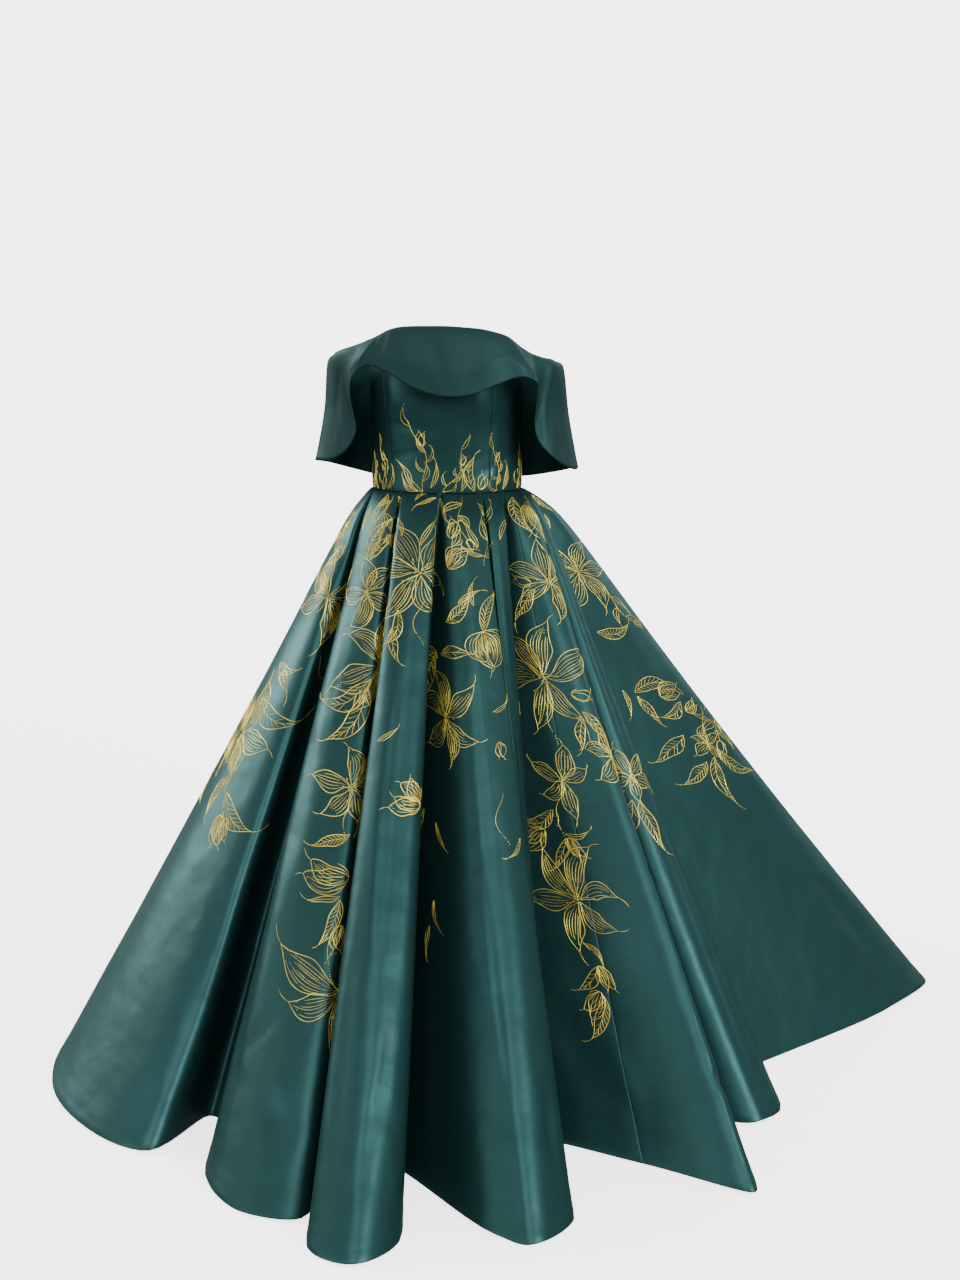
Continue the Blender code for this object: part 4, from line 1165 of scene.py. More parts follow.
class Drawing:
    """Gold lines and dots of one motif, drawn by rule from a seed.

    Right is the first coordinate and down the second, in metres. A stroke
    is its points and its width at each, a dot its place and its radius.
    """

    def __init__(self, seed: int) -> None:
        """Start an empty drawing, left-handed or right-handed.

        Args:
            seed: seed of its small differences.
        """
        self.random = np.random.default_rng(seed)
        self.hand = math.copysign(1.0, self.random.uniform(-1.0, 1.0))
        self.strokes: list[tuple[Array, Array]] = []
        self.dots: list[tuple[float, float, float]] = []

    def vary(self, value: float, share: float = 0.15) -> float:
        """A value changed by up to a share of itself."""
        return value * (1.0 + share * self.random.uniform(-1.0, 1.0))

    def line(self, points: Array, width: float, thin: float = 0.45) -> None:
        """Add a line, thinner at its ends.

        Args:
            points: points that it passes through.
            width: its width at the middle.
            thin: share of the width that its ends keep.
        """
        along = running(np.linalg.norm(np.diff(points, axis=0), axis=1))
        if along[-1] < SHORTEST:
            return
        count = max(3, int(math.ceil(along[-1] / STROKE_STEP)) + 1)
        wanted = np.linspace(0.0, along[-1], count)
        placed = np.stack([np.interp(wanted, along, points[:, k]) for k in (0, 1)], axis=1)
        share = np.linspace(0.0, 1.0, count)
        body = thin + (1.0 - thin) * np.sin(math.pi * share) ** 0.6
        rough = 1.0 + 0.10 * self.random.uniform(-1.0, 1.0, count)
        self.strokes.append((placed, width * body * rough))

    def dotted(self, points: Array, size: float, spacing: float) -> None:
        """Add a row of dots.

        Args:
            points: points that the row passes through.
            size: rough radius of a dot.
            spacing: rough distance from dot to dot.
        """
        along = running(np.linalg.norm(np.diff(points, axis=0), axis=1))
        for wanted in np.linspace(0.0, along[-1], int(along[-1] / spacing) + 1)[1:]:
            x, y = (np.interp(wanted, along, points[:, k]) for k in (0, 1))
            self.dots.append((x, y, self.vary(size, 0.3)))

    def spine(self, lay: Lay, wave: float = 0.0) -> tuple[Array, Array, Array]:
        """Bent centre line.

        Args:
            lay: where it goes.
            wave: how far it waves, in degrees.

        Returns:
            Its points, the share of the length and the side way at each.
        """
        share = np.linspace(0.0, 1.0, SPINE_PARTS + 1)
        turned = lay.heading + lay.bend * (share - 0.3)
        angle = np.radians(turned + wave * np.sin(2 * math.pi * share))
        steps = np.stack([np.cos(angle), np.sin(angle)], axis=1) * lay.length / SPINE_PARTS
        points = np.asarray(lay.base) + np.vstack([np.zeros((1, 2)), np.cumsum(steps[:-1], axis=0)])
        return points, share, np.stack([-np.sin(angle), np.cos(angle)], axis=1)

    def blade(
        self,
        lay: Lay,
        width: float,
        fullness: float = 1.2,
        widest: float = 0.95,
        pen: float = OUTLINE,
    ) -> tuple[Array, Array, Array, Array]:
        """Outline of a petal or leaf, with a thin flick at its tip.

        Args:
            lay: where it goes.
            width: its greatest width.
            fullness: under one for a round shape, over one for a pointed one.
            widest: under one puts the widest place nearer the base.
            pen: width of the drawn line.

        Returns:
            Centre line, share along it, side direction and half width.
        """
        wave = self.random.uniform(-20.0, 20.0)
        points, share, side = self.spine(lay, wave)
        half = width * 0.5 * np.abs(np.sin(math.pi * share**widest)) ** fullness
        for hand in (-1.0, 1.0):
            swell = 1.0 + 0.11 * np.sin(self.random.uniform(0.0, 6.0) + share * 8.0)
            self.line(points + side * (hand * half * swell)[:, None], pen, 0.6)
        ahead = heading_of(points[-1] - points[-2]) + math.copysign(14.0, lay.bend)
        flick = lay.length * self.random.uniform(0.14, 0.32)
        curl = Lay(tuple(points[-1]), ahead, flick, math.copysign(46.0, lay.bend))
        self.line(self.spine(curl)[0], pen * 0.75, 0.3)
        return points, share, side, half

    def petal(self, lay: Lay, width: float, fullness: float = 1.2) -> None:
        """Petal with lines that follow its outline and stop before its tip.

        Args:
            lay: where it goes.
            width: its greatest width.
            fullness: as for a blade.
        """
        points, share, side, half = self.blade(lay, width, fullness)
        veins = int(np.clip(round(width / VEIN_PITCH), 2, 9))
        for index in range(veins):
            lateral = 1.66 * ((index + 0.5) / veins - 0.5)
            lateral += self.random.uniform(-0.04, 0.04)
            first = self.random.uniform(0.05, 0.12) + (0.14 if index % 2 else 0.0)
            last = self.random.uniform(0.66, 0.95) * (1.0 - 0.12 * abs(lateral))
            vein = points + side * (lateral * half)[:, None]
            self.line(vein[(share >= first) & (share <= last)], VEIN, 0.4)
            if self.random.random() < 0.3:
                beyond = (share > last + 0.02) & (share < min(0.93, last + 0.16))
                if beyond.sum() > 1:
                    self.dotted(vein[beyond], 0.0007, 0.0040)

    def leaf(self, lay: Lay, width: float) -> None:
        """Slender leaf with a midrib, and fine side veins if it is large.

        Args:
            lay: where it goes.
            width: its greatest width.
        """
        length = lay.length
        pen = OUTLINE if length > SMALL_LEAF else FINE * 1.3
        points, _, side, half = self.blade(lay, width, 1.35, 0.78, pen)
        self.line(points[:19], min(pen, VEIN), 0.5)
        if length < SMALL_LEAF:
            return
        step = max(2, int(round(SIDE_VEIN_PITCH / (length / float(SPINE_PARTS)))))
        for index in range(2, 17, step):
            for hand in (-1.0, 1.0):
                if self.random.random() < 0.10:
                    continue
                ahead = min(20, index + 3)
                end = points[ahead] + side[ahead] * hand * half[ahead] * 0.86
                bent = (points[index] + end) / 2.0 - side[index] * hand * 0.04 * length * 0.2
                self.line(np.array([points[index], bent, end]), FINE, 0.5)

    def flower(self, size: float, petals: int, wide: float, full: float) -> None:
        """Open flower with petals round a dotted centre and a few stamens.

        Args:
            size: rough length of a petal.
            petals: how many.
            wide: a petal's width as a share of its length.
            full: its fullness.
        """
        start = self.random.uniform(0.0, 360.0)
        for index in range(petals):
            heading = start + 360.0 * index / petals + self.random.uniform(-12.0, 12.0)
            length = size * self.random.uniform(0.74, 1.14)
            angle = math.radians(heading)
            base = (0.05 * size * math.cos(angle), 0.05 * size * math.sin(angle))
            bend = math.copysign(self.random.uniform(18.0, 58.0), self.random.uniform(-1, 1))
            self.petal(Lay(base, heading, length, bend), length * self.vary(wide, 0.14), full)
        for index in range(5):
            heading = start + 72.0 * index + self.random.uniform(-20.0, 20.0)
            stamen = self.spine(Lay(ORIGIN, heading, size * self.vary(0.26, 0.3), 40.0))[0]
            self.line(stamen, FINE, 0.7)
            self.dots.append((*stamen[-1], 0.0012))
        for _ in range(10):
            reach, angle = size * 0.10 * self.random.random(), self.random.uniform(0, 6.28)
            self.dots.append((reach * math.cos(angle), reach * math.sin(angle), 0.0010))

    def bud(self, base: Point, heading: float, length: float) -> None:
        """Closed round bud of overlapping petals with a sepal at each side.

        Args:
            base: where it starts.
            heading: which way it goes, in degrees.
            length: its length.
        """
        for turn, size, wide in ((-7.0, 1.0, 0.50), (9.0, 0.92, 0.40)):
            lay = Lay(base, heading + turn, length * size, turn)
            if length > SMALL_BUD:
                self.petal(lay, length * wide, 0.72)
            else:
                self.blade(lay, length * wide, 0.72, 0.95, FINE * 1.2)
        for hand in (-1.0, 1.0):
            sepal = Lay(base, heading + hand * 52.0, length * 0.44, -hand * 70.0)
            self.line(self.spine(sepal)[0], OUTLINE * 0.9, 0.3)

    def bloom(self, length: float) -> None:
        """Half-open flower: petals that wrap round one another.

        Args:
            length: its length.
        """
        for index, turn in enumerate((-16.0, 0.0, 17.0)):
            size = length * (1.0 - 0.10 * index)
            self.petal(Lay(ORIGIN, turn, size, 70.0 - 60.0 * index), size * 0.66, 0.8)

    def tendril(self, length: float) -> None:
        """Waving stem that ends in dots.

        Args:
            length: its length.
        """
        points = self.spine(Lay(ORIGIN, 0.0, length, self.random.uniform(-40, 40)), 26.0)[0]
        self.line(points[:17], VEIN, 0.4)
        self.dotted(points[16:], 0.0009, 0.0045)

    def spray(self, length: float) -> None:
        """Hanging stem with leaves by turns and a bud at its end.

        Args:
            length: its length.
        """
        points = self.spine(Lay(ORIGIN, 0.0, length, self.random.uniform(-35, 35)), 22.0)[0]
        self.line(points[:18], VEIN, 0.6)
        small = length < SMALL_SPRAY
        hand = self.hand
        for index in range(3, 17, 5) if small else range(2, 17, 3):
            heading = heading_of(points[index + 1] - points[index]) + hand * self.vary(44.0, 0.3)
            size = length * self.vary(0.36 if small else 0.30, 0.25)
            self.leaf(Lay(tuple(points[index]), heading, size, -hand * 40.0), size * 0.30)
            hand = -hand
        self.bud(tuple(points[17]), heading_of(points[18] - points[17]), length * 0.20)

    def flame(self, height: float) -> None:
        """Rising sprig of slender waving leaves with a bud near its tip.

        Args:
            height: its height.
        """
        lean = self.random.uniform(-14.0, 14.0)
        points = self.spine(Lay(ORIGIN, 0.0, height * 0.80, lean), 26.0)[0]
        self.line(points, FINE * 1.2, 0.7)
        hand = self.hand
        for index in (0, 3, 6, 9, 12):
            size = height * self.vary(0.27 - 0.009 * index, 0.2)
            lay = Lay(tuple(points[index]), hand * self.vary(42.0, 0.3), size, -hand * 84.0)
            self.blade(lay, max(0.0042, size * 0.15), 1.1, 0.8, FINE)
            hand = -hand
        self.bud(tuple(points[14]), hand * 8.0, max(0.016, height * 0.17))
        tip = Lay(tuple(points[-1]), hand * -14.0, height * 0.26, hand * 46.0)
        self.blade(tip, height * 0.055, 1.1, 0.7, FINE)

    def turn(self, degrees: float) -> None:
        """Turn the whole drawing about its origin.

        Args:
            degrees: how far, from right towards down.
        """
        angle = math.radians(degrees)
        spin = np.array([[math.cos(angle), math.sin(angle)], [-math.sin(angle), math.cos(angle)]])
        self.strokes = [(points @ spin, widths) for points, widths in self.strokes]
        self.dots = [(*(np.array(dot[:2]) @ spin), dot[2]) for dot in self.dots]

    def draw(self, motif: Motif, size: float) -> None:
        """Draw a motif at the origin, pointing right.

        Args:
            motif: which one.
            size: its rough reach.
        """
        if motif is Motif.LILY:
            self.flower(size, 6, 0.40, 1.22)
        elif motif is Motif.STAR:
            self.flower(size, 5, 0.50, 0.95)
        elif motif is Motif.LEAF:
            wide = size * (0.27 if size > SMALL_LEAF else 0.17)
            self.leaf(Lay(ORIGIN, 0.0, size, self.vary(44.0) * self.hand), wide)
        elif motif is Motif.BUD:
            self.bud(ORIGIN, 0.0, size)
        elif motif is Motif.BLOOM:
            self.bloom(size)
        elif motif is Motif.TENDRIL:
            self.tendril(size)
        elif motif is Motif.SPRAY:
            self.spray(size)
        else:
            self.flame(size)


@dataclass
class GoldPrint:
    """Raised gold lines on one piece of cloth."""

    name: str
    edge_lift: float = 0.00022
    ridge_lift: float = 0.00065
    bead_lift: float = 0.0001
    bead_shape: tuple[float, float, float] = (1.0, 1.0, 0.6)
    vertices: list = field(default_factory=list)
    faces: list = field(default_factory=list)
    beads: list = field(default_factory=list)

    def add(self, cloth: Cloth, spot: PrintSpot, seed: int) -> None:
        """Draw a spot's motif on the cloth.

        Args:
            cloth: the cloth that carries it.
            spot: the motif, where it lies and its size.
            seed: seed of its small differences.
        """
        drawing = Drawing(seed)
        drawing.draw(spot.motif, spot.size)
        drawing.turn(spot.turn)
        rails = []
        for line, widths in drawing.strokes:
            ahead = unit(np.gradient(line, axis=0))
            side = np.stack([-ahead[:, 1], ahead[:, 0]], axis=1) * widths[:, None] / 2
            rails.append(np.vstack([line - side, line, line + side]))
        points, normals, inside = cloth.place(spot.place, spot.down, np.vstack(rails))
        ends = np.cumsum([len(rail) for rail in rails])[:-1]
        parts = (np.split(table, ends) for table in (points, normals, inside))
        for rail, facing, kept in zip(*parts):
            count = len(rail) // 3
            lift = np.repeat([self.edge_lift, self.ridge_lift, self.edge_lift], count)
            kept = kept.reshape(3, count).all(axis=0)
            base = len(self.vertices)
            self.vertices.extend((rail + facing * lift[:, None]).tolist())
            for index in np.flatnonzero(kept[:-1] & kept[1:]).tolist():
                for a in (base + index, base + count + index):
                    self.faces.append((a, a + count, a + count + 1, a + 1))
        if drawing.dots:
            flat = np.array([dot[:2] for dot in drawing.dots])
            points, normals, inside = cloth.place(spot.place, spot.down, flat)
            for index in np.flatnonzero(inside):
                raised = points[index] + normals[index] * self.bead_lift
                self.beads.append((*raised, *normals[index], drawing.dots[index][2]))

    def build(self, material: Material) -> Piece:
        """Make the print's piece, its beads joined to it.

        Args:
            material: the gold.

        Returns:
            The piece, without the points that no face uses.
        """
        mesh = bpy.data.meshes.new(self.name)
        mesh.from_pydata(self.vertices, [], self.faces)
        mesh.update()
        mesh.shade_smooth()
        piece = link(self.name, mesh)
        work = bmesh.new()
        work.from_mesh(mesh)
        if self.beads:
            points, facing, sizes = np.split(np.array(self.beads), (3, 6), axis=1)
            values = (points, facing, facing, sizes)
            beads = repeated("beads", Repeat.BEAD, self.bead_shape, material, *values)
            work.from_mesh(beads.data)
            bpy.data.objects.remove(beads, do_unlink=True)
        loose = [vertex for vertex in work.verts if not vertex.link_faces]
        bmesh.ops.delete(work, geom=loose, context="VERTS")
        work.to_mesh(mesh)
        work.free()
        return dress(piece, (material,))


@dataclass
class Skirt:
    """The skirt of five panels, pleated into the waist."""

    finishes: Finishes
    fold_steps: tuple[int, ...] = (10, 10, 7, 6, 7)
    pleat_rise: float = 0.0050
    pleat_crown: float = 0.0015
    pleat_depth: float = 0.0110
    pleat_mouth: float = 2.1
    pleat_bottom: float = 1.0
    pleat_pressed: float = 0.25
    pleat_open: float = 0.05
    hip_spring: float = 0.036
    hip_rate: float = 0.030
    hip_side: float = 0.30
    crease_depth: float = 1.3
    sway: Undulation = Undulation(11, 16, (24, 70), 1.1, 0.0016)
    ripple: Undulation = Undulation(12, 14, (60, 150), 0.7, 0.0006)
    pucker: Undulation = Undulation(13, 10, (110, 210), 3.0, 0.0007)
    waist_dip: float = 0.0010
    hem_turn: float = 0.045
    hem_thick: float = 0.0007
    hem_step: float = 0.0006
    hem_roll: float = 0.0007
    hem_lift: float = 0.0012
    stitch: tuple[float, float, float] = (0.0022, 0.0003, 0.0003)
    seams: tuple[tuple[str, str, float], ...] = (
        ("skirt_front", "a", 3.5),
        ("skirt_side_left", "e", 0.0),
        ("skirt_back_left", "g", 3.5),
        ("skirt_back_right", "j", 1.0),
        ("skirt_side_right", "m", 3.5),
    )
    shell: Shell = Shell(thick=0.0013)
    print_seed: int = 100

    def place(self, fold: str, station: float) -> float:
        """Column of a place on a fold.

        Args:
            fold: the fold's name.
            station: 0 its left shoulder, 1 its nose, 2 its right shoulder,
                3 to 4 the hollow after it, 5 the next fold's left shoulder.

        Returns:
            The column, with its fraction.
        """
        starts = running(self.fold_steps)
        inside = float(np.interp(station, range(len(starts)), starts))
        return FOLD_NAMES.index(fold) * float(starts[-1]) + inside

    def levels(self) -> Array:
        """Rows of the cloth, finer at both ends.

        Returns:
            How far down each row lies, as a share of the skirt's height.
        """
        top = np.array([0, 3, 6, 10, 15, 21, 28, 37, 48, 61, 76, 92]) / 1000.0
        low = HEM_DROP - np.array([70, 57, 47, 43, 38, 30, 22, 15, 9, 5, 2.5, 1]) / 1000.0
        middle = np.linspace(top[-1], low[0], 72)[1:-1]
        return np.concatenate([top, middle, low]) / SKIRT_HEIGHT

    def waist_line(self, azimuths: Array, out: Array) -> Array:
        """Plan points of the waist's oval, moved out.

        Args:
            azimuths: where round the waist, in degrees.
            out: how far out each point is moved.

        Returns:
            The points.
        """
        angle = np.radians(np.stack([azimuths, azimuths + 0.5]))
        depth = np.where(np.cos(angle) > 0.0, WAIST_FRONT, WAIST_BACK)
        base, ahead = np.stack([WAIST_HALF_WIDTH * np.sin(angle), -depth * np.cos(angle)], axis=2)
        along = unit(ahead - base)
        return base + out[:, None] * np.stack([along[:, 1], -along[:, 0]], axis=1)

    def surface(self) -> Cloth:
        """Sweep the folds from the pleats at the waist to the hem.

        Returns:
            Outer face of the whole skirt, smooth.
        """
        hem_points, azimuths, outs = [], [], []
        for index, fold in enumerate(FOLDS):
            hem_points += [
                polar(fold.left_az, fold.left_reach),
                polar(fold.nose_az, fold.nose_reach),
                polar(fold.right_az, fold.right_reach),
                polar(fold.valley_az - fold.valley_half, fold.valley_reach),
                polar(fold.valley_az + fold.valley_half, fold.valley_reach),
            ]
            crease = fold.waist_crease
            before = FOLDS[index - 1].waist_crease
            before -= 360.0 if before > crease else 0.0
            left, right = before + self.pleat_mouth, crease - self.pleat_mouth
            azimuths += [left, (left + right) / 2, right]
            azimuths += [crease - self.pleat_bottom, crease + self.pleat_bottom]
            outs += [self.pleat_rise, self.pleat_rise + self.pleat_crown, self.pleat_rise]
            outs += [-self.pleat_depth, -self.pleat_depth]
        azimuths, outs = np.array(azimuths), np.array(outs)
        hem = curve(hem_points, self.fold_steps, True)
        full = curve(self.waist_line(azimuths, outs), self.fold_steps, True)
        flat = curve(self.waist_line(azimuths, outs * 0.0), self.fold_steps, True)
        level = self.levels()[:, None, None]
        opened = self.pleat_pressed + (1.0 - self.pleat_pressed) * ease(level / self.pleat_open)
        waist = flat + (full - flat) * opened
        spring = self.hip_spring * (1.0 - np.exp(-level / self.hip_rate)) * (1.0 - level) ** 3
        share = level + spring * (1.0 + self.hip_side * flat[None, :, :1] / WAIST_HALF_WIDTH)
        plan = waist * (1.0 - share) + hem * share
        height = -SEAM_GAP + (SEAM_GAP - HEM_DROP + HEM_CLEAR) * level[..., 0]
        height = np.repeat(height, plan.shape[1], axis=1)
        return Cloth(np.dstack([plan, height]), True)

    def relief(self, cloth: Cloth) -> Array:
        """Add up creases, slight waves, the turned hem and the tight waist.

        Args:
            cloth: the smooth skirt.

        Returns:
            Height at each of its points.
        """
        down, to_hem = cloth.down, cloth.to_hem
        creases = [Crease(self.place(*row[:2]), *row[2:]) for row in SKIRT_CREASES]
        heights = self.crease_depth * cloth.creased(creases) * ease(down / 0.08)
        heights += self.sway.over(cloth) * ease(down / 0.35)
        heights += self.ripple.over(cloth) * ease(down / 1.0)
        heights += self.pucker.over(cloth) * np.exp(-down / 0.045) * ease(down / 0.006)
        heights += self.hem_step * ease((self.hem_turn - to_hem) / 0.010)
        heights += self.hem_roll * mound(to_hem - 0.009, 0.007)
        heights -= self.waist_dip * mound(down, 0.0035)
        return heights

    def hung(self, cloth: Cloth) -> Cloth:
        """Lift the hem here and there, as a real one hangs.

        Args:
            cloth: the skirt with an even hem.

        Returns:
            The skirt with an uneven hem.
        """
        random = np.random.default_rng(21)
        turn = np.arange(cloth.count) / cloth.count
        lift = np.zeros_like(turn)
        for _ in range(8):
            lift += np.sin(2 * math.pi * (int(random.integers(9, 60)) * turn + random.random()))
        lift = self.hem_lift * (lift / 2.0 + 1.6).clip(0.0, 4.0)
        points = cloth.points.copy()
        points[..., 2] += lift[None, :] * self.levels()[:, None] ** 10
        return Cloth(points, True)

    def build(self) -> Cloth:
        """Make the five panels, their stitches and their print.

        Returns:
            The whole cloth.
        """
        cloth = self.hung(self.surface())
        cloth = cloth.raised(self.relief(cloth))
        starts = [int(round(self.place(*where))) for _, *where in self.seams]
        height = (1.0 - self.levels()) * SKIRT_HEIGHT
        thick = np.full(len(cloth.points), self.shell.thick)
        thick += self.hem_thick * ease((self.hem_turn - height) / 0.004)
        for index, (name, *_) in enumerate(self.seams):
            start, end = starts[index], starts[(index + 1) % len(starts)]
            end += cloth.count if end <= start else 0
            grid, places = self.shell.cut(cloth, start, end)
            piece = link(name + "_satin", self.shell.mesh(name, grid, places, thick))
            dress(piece, (self.finishes.satin, self.finishes.lining), name)
        stitches = self.stitch_hem(cloth)
        prints = self.print_on(cloth)
        return cloth

    def stitch_hem(self, cloth: Cloth) -> Piece:
        """Blind stitches along the inside of the hem.

        Args:
            cloth: the whole skirt.

        Returns:
            The stitches, as one piece.
        """
        heights = (1.0 - self.levels()) * SKIRT_HEIGHT
        row = float(np.interp(self.hem_turn * 0.9, heights[::-1], np.arange(len(heights))[::-1]))
        columns = np.arange(0.0, cloth.count, 0.85)
        rows = np.full(len(columns), row)
        points, normals = cloth.at(rows, columns)
        ahead, _ = cloth.at(rows, columns + 0.2)
        points = points - normals * (self.shell.thick + self.hem_thick)
        along = unit(ahead - points)
        finish = self.finishes.lining
        made = repeated("hem_stitches", Repeat.STITCH, self.stitch, finish, points, -normals, along)
        return dress(made, ())

    def hidden_print(self) -> list[tuple]:
        """Cast motifs of the same kinds over the folds that the photograph hides.

        Returns:
            Rows like those of the table of motifs.
        """
        random = np.random.default_rng(77)
        upper = (Motif.LILY, Motif.LEAF, Motif.STAR, Motif.LILY, Motif.LEAF, Motif.BUD)
        lower = (Motif.STAR, Motif.LEAF, Motif.BUD, Motif.SPRAY, Motif.LEAF, Motif.LILY)
        sizes = {Motif.LILY: 0.105, Motif.STAR: 0.075, Motif.LEAF: 0.085, Motif.SPRAY: 0.190}
        spots = []
        for name in "ghijklmna":
            lanes = {"g": (2.3,), "a": (0.15,)}.get(name, (0.6, 2.0) if name in "hjln" else (1.3,))
            for lane in lanes:
                down = random.uniform(0.03, 0.14)
                end = random.uniform(0.50, 1.02)
                while down < end:
                    motif = (upper if down < 0.45 else lower)[int(random.integers(6))]
                    size = sizes.get(motif, 0.045) * random.uniform(0.75, 1.15)
                    size *= 0.62 + 0.38 * min(1.0, down / 0.3)
                    station = lane + random.uniform(-0.3, 0.3)
                    turn = random.uniform(20.0, 160.0)
                    spots.append((motif, name, station, down, turn, size))
                    down += random.uniform(0.085, 0.15) * (1.0 + 0.4 * down)
        return spots

    def print_on(self, cloth: Cloth) -> list[Piece]:
        """Gold print, one piece for each panel.

        Args:
            cloth: the whole skirt.

        Returns:
            The prints, in the order of the panels.
        """
        seams = [self.place(*where) for _, *where in self.seams]
        prints = [GoldPrint(name + "_print") for name, *_ in self.seams]
        for number, (kind, *where) in enumerate((*SKIRT_PRINT, *self.hidden_print())):
            place = self.place(*where[:2])
            which = int(np.searchsorted(seams, place % cloth.count, side="right")) - 1
            laid = PrintSpot(Motif(kind), place, *where[2:])
            prints[which].add(cloth, laid, self.print_seed + number)
        return [made.build(self.finishes.gold) for made in prints]


@dataclass
class Bodice:
    """Fitted bodice of five panels with princess seams."""

    finishes: Finishes
    rows: int = 56
    step: float = 1.5
    cup_az: float = 33.0
    cup_width: float = 20.0
    top_front: float = 0.288
    top_side: float = 0.222
    top_back: float = 0.241
    top_front_az: float = 45.0
    top_back_az: float = 135.0
    princess_az: float = 40.0
    princess_lean: float = 1.0
    side_az: float = 95.0
    sway: Undulation = Undulation(31, 10, (8, 26), 4.0, 0.0006)
    waist_dip: float = 0.0009
    shell: Shell = Shell(thick=0.0014, seam_dip=0.0009, seam_reach=0.0026)
    print_seed: int = 500

    def __post_init__(self) -> None:
        """Smooth the level table."""
        self.table = curve(BODICE_LEVELS, (16,), False)

    def points_at(self, azimuth: Array, height: Array) -> Array:
        """Outer face of the bodice.

        Args:
            azimuth: azimuths, in degrees.
            height: heights above the waist, as many.

        Returns:
            The points.
        """
        half, front, back, cup = (
            np.interp(height, self.table[:, 0], self.table[:, k]) for k in (1, 2, 3, 4)
        )
        folded = np.abs((azimuth + 180.0) % 360.0 - 180.0)
        push = cup * mound(folded - self.cup_az, self.cup_width)
        angle = np.radians(azimuth)
        depth = np.where(np.cos(angle) > 0.0, front, back)
        plan = np.stack([half * np.sin(angle), -depth * np.cos(angle)], axis=-1)
        plan = plan * (1.0 + push / np.linalg.norm(plan, axis=-1))[..., None]
        return np.concatenate([plan, np.asarray(height)[..., None]], axis=-1)

    def top_at(self, azimuth: Array) -> Array:
        """Height of the top edge, high in front and lower at the sides.

        Args:
            azimuth: azimuths, in degrees.

        Returns:
            The heights above the waist.
        """
        folded = np.abs((azimuth + 180.0) % 360.0 - 180.0)
        fall = ease((folded - self.top_front_az) / (90.0 - self.top_front_az))
        rise = ease((folded - 90.0) / (self.top_back_az - 90.0))
        front = self.top_front + (self.top_side - self.top_front) * fall
        back = self.top_side + (self.top_back - self.top_side) * rise
        return np.where(folded < 90.0, front, back)

    def panels(self) -> tuple[tuple[str, float, float, float, float], ...]:
        """The panels in order round the body.

        Returns:
            Name, start and end azimuth, and the lean of each end.
        """
        princess, lean, side = self.princess_az, self.princess_lean, self.side_az
        return (
            ("bodice_front", -princess, princess, -lean, lean),
            ("bodice_side_front_left", princess, side, lean, 0.0),
            ("bodice_back_left", side, 180.0, 0.0, 0.0),
            ("bodice_back_right", 180.0, 360.0 - side, 0.0, 0.0),
            ("bodice_side_front_right", 360.0 - side, 360.0 - princess, 0.0, -lean),
        )

    def column(self, azimuth: float) -> float:
        """Column of the cloth at an azimuth.

        Args:
            azimuth: in degrees.

        Returns:
            The column, with its fraction.
        """
        starts = [panel[1] for panel in self.panels()] + [360.0 - self.princess_az]
        counts = [round((end - start) / self.step) for start, end in zip(starts, starts[1:])]
        turned = (azimuth + self.princess_az) % 360.0 - self.princess_az
        return float(np.interp(turned, starts, running(counts)))

    def surface(self) -> tuple[Cloth, list[int]]:
        """Make the outer face, smooth.

        Returns:
            The whole bodice as one closed cloth, and its seam columns.
        """
        share = 1.0 - np.linspace(0.0, 1.0, self.rows) ** 0.96
        share = np.concatenate([share[:-2], [0.0075, 0.0035, 0.0]])
        lines, seams = [], []
        for _, start, end, lean_start, lean_end in self.panels():
            seams.append(len(lines))
            count = int(round((end - start) / self.step))
            for column in range(count):
                part = column / count
                lean = (lean_start * (1 - part) + lean_end * part) * ease(share)
                azimuth = start * (1 - part) + end * part + lean
                lines.append(self.points_at(azimuth, self.top_at(azimuth) * share))
        return Cloth(np.array(lines).transpose(1, 0, 2), True), [*seams, len(lines)]

    def relief(self, cloth: Cloth) -> Array:
        """Add up drag lines, slight waves and the drawn-in waist seam.

        Args:
            cloth: the smooth bodice.

        Returns:
            Height at each of its points.
        """
        creases = [crease._replace(place=self.column(crease.place)) for crease in BODICE_CREASES]
        heights = cloth.creased(creases)
        heights += self.sway.over(cloth) * ease(cloth.to_hem / 0.03)
        heights -= self.waist_dip * mound(cloth.to_hem, 0.0032)
        return heights

    def build(self) -> None:
        """Make the five panels and their print."""
        cloth, seams = self.surface()
        cloth = cloth.raised(self.relief(cloth))
        sprigs = self.print_on(cloth)
        for (name, *_), start, end in zip(self.panels(), seams, seams[1:]):
            grid, places = self.shell.cut(cloth, start, end)
            piece = link(name + "_satin", self.shell.mesh(name, grid, places))
            dress(piece, (self.finishes.satin, self.finishes.lining), name)

    def print_on(self, cloth: Cloth) -> Piece:
        """Gold sprigs that rise from the waist seam.

        Args:
            cloth: the whole bodice.

        Returns:
            The print, as one piece.
        """
        made = GoldPrint("bodice_print")
        for number, (kind, azimuth, rise, turn, size) in enumerate(BODICE_PRINT):
            column = self.column(azimuth)
            down = float(cloth.down_line(column)[-1]) - rise
            laid = PrintSpot(Motif(kind), column, down, turn, size)
            made.add(cloth, laid, self.print_seed + number)
        return made.build(self.finishes.gold)


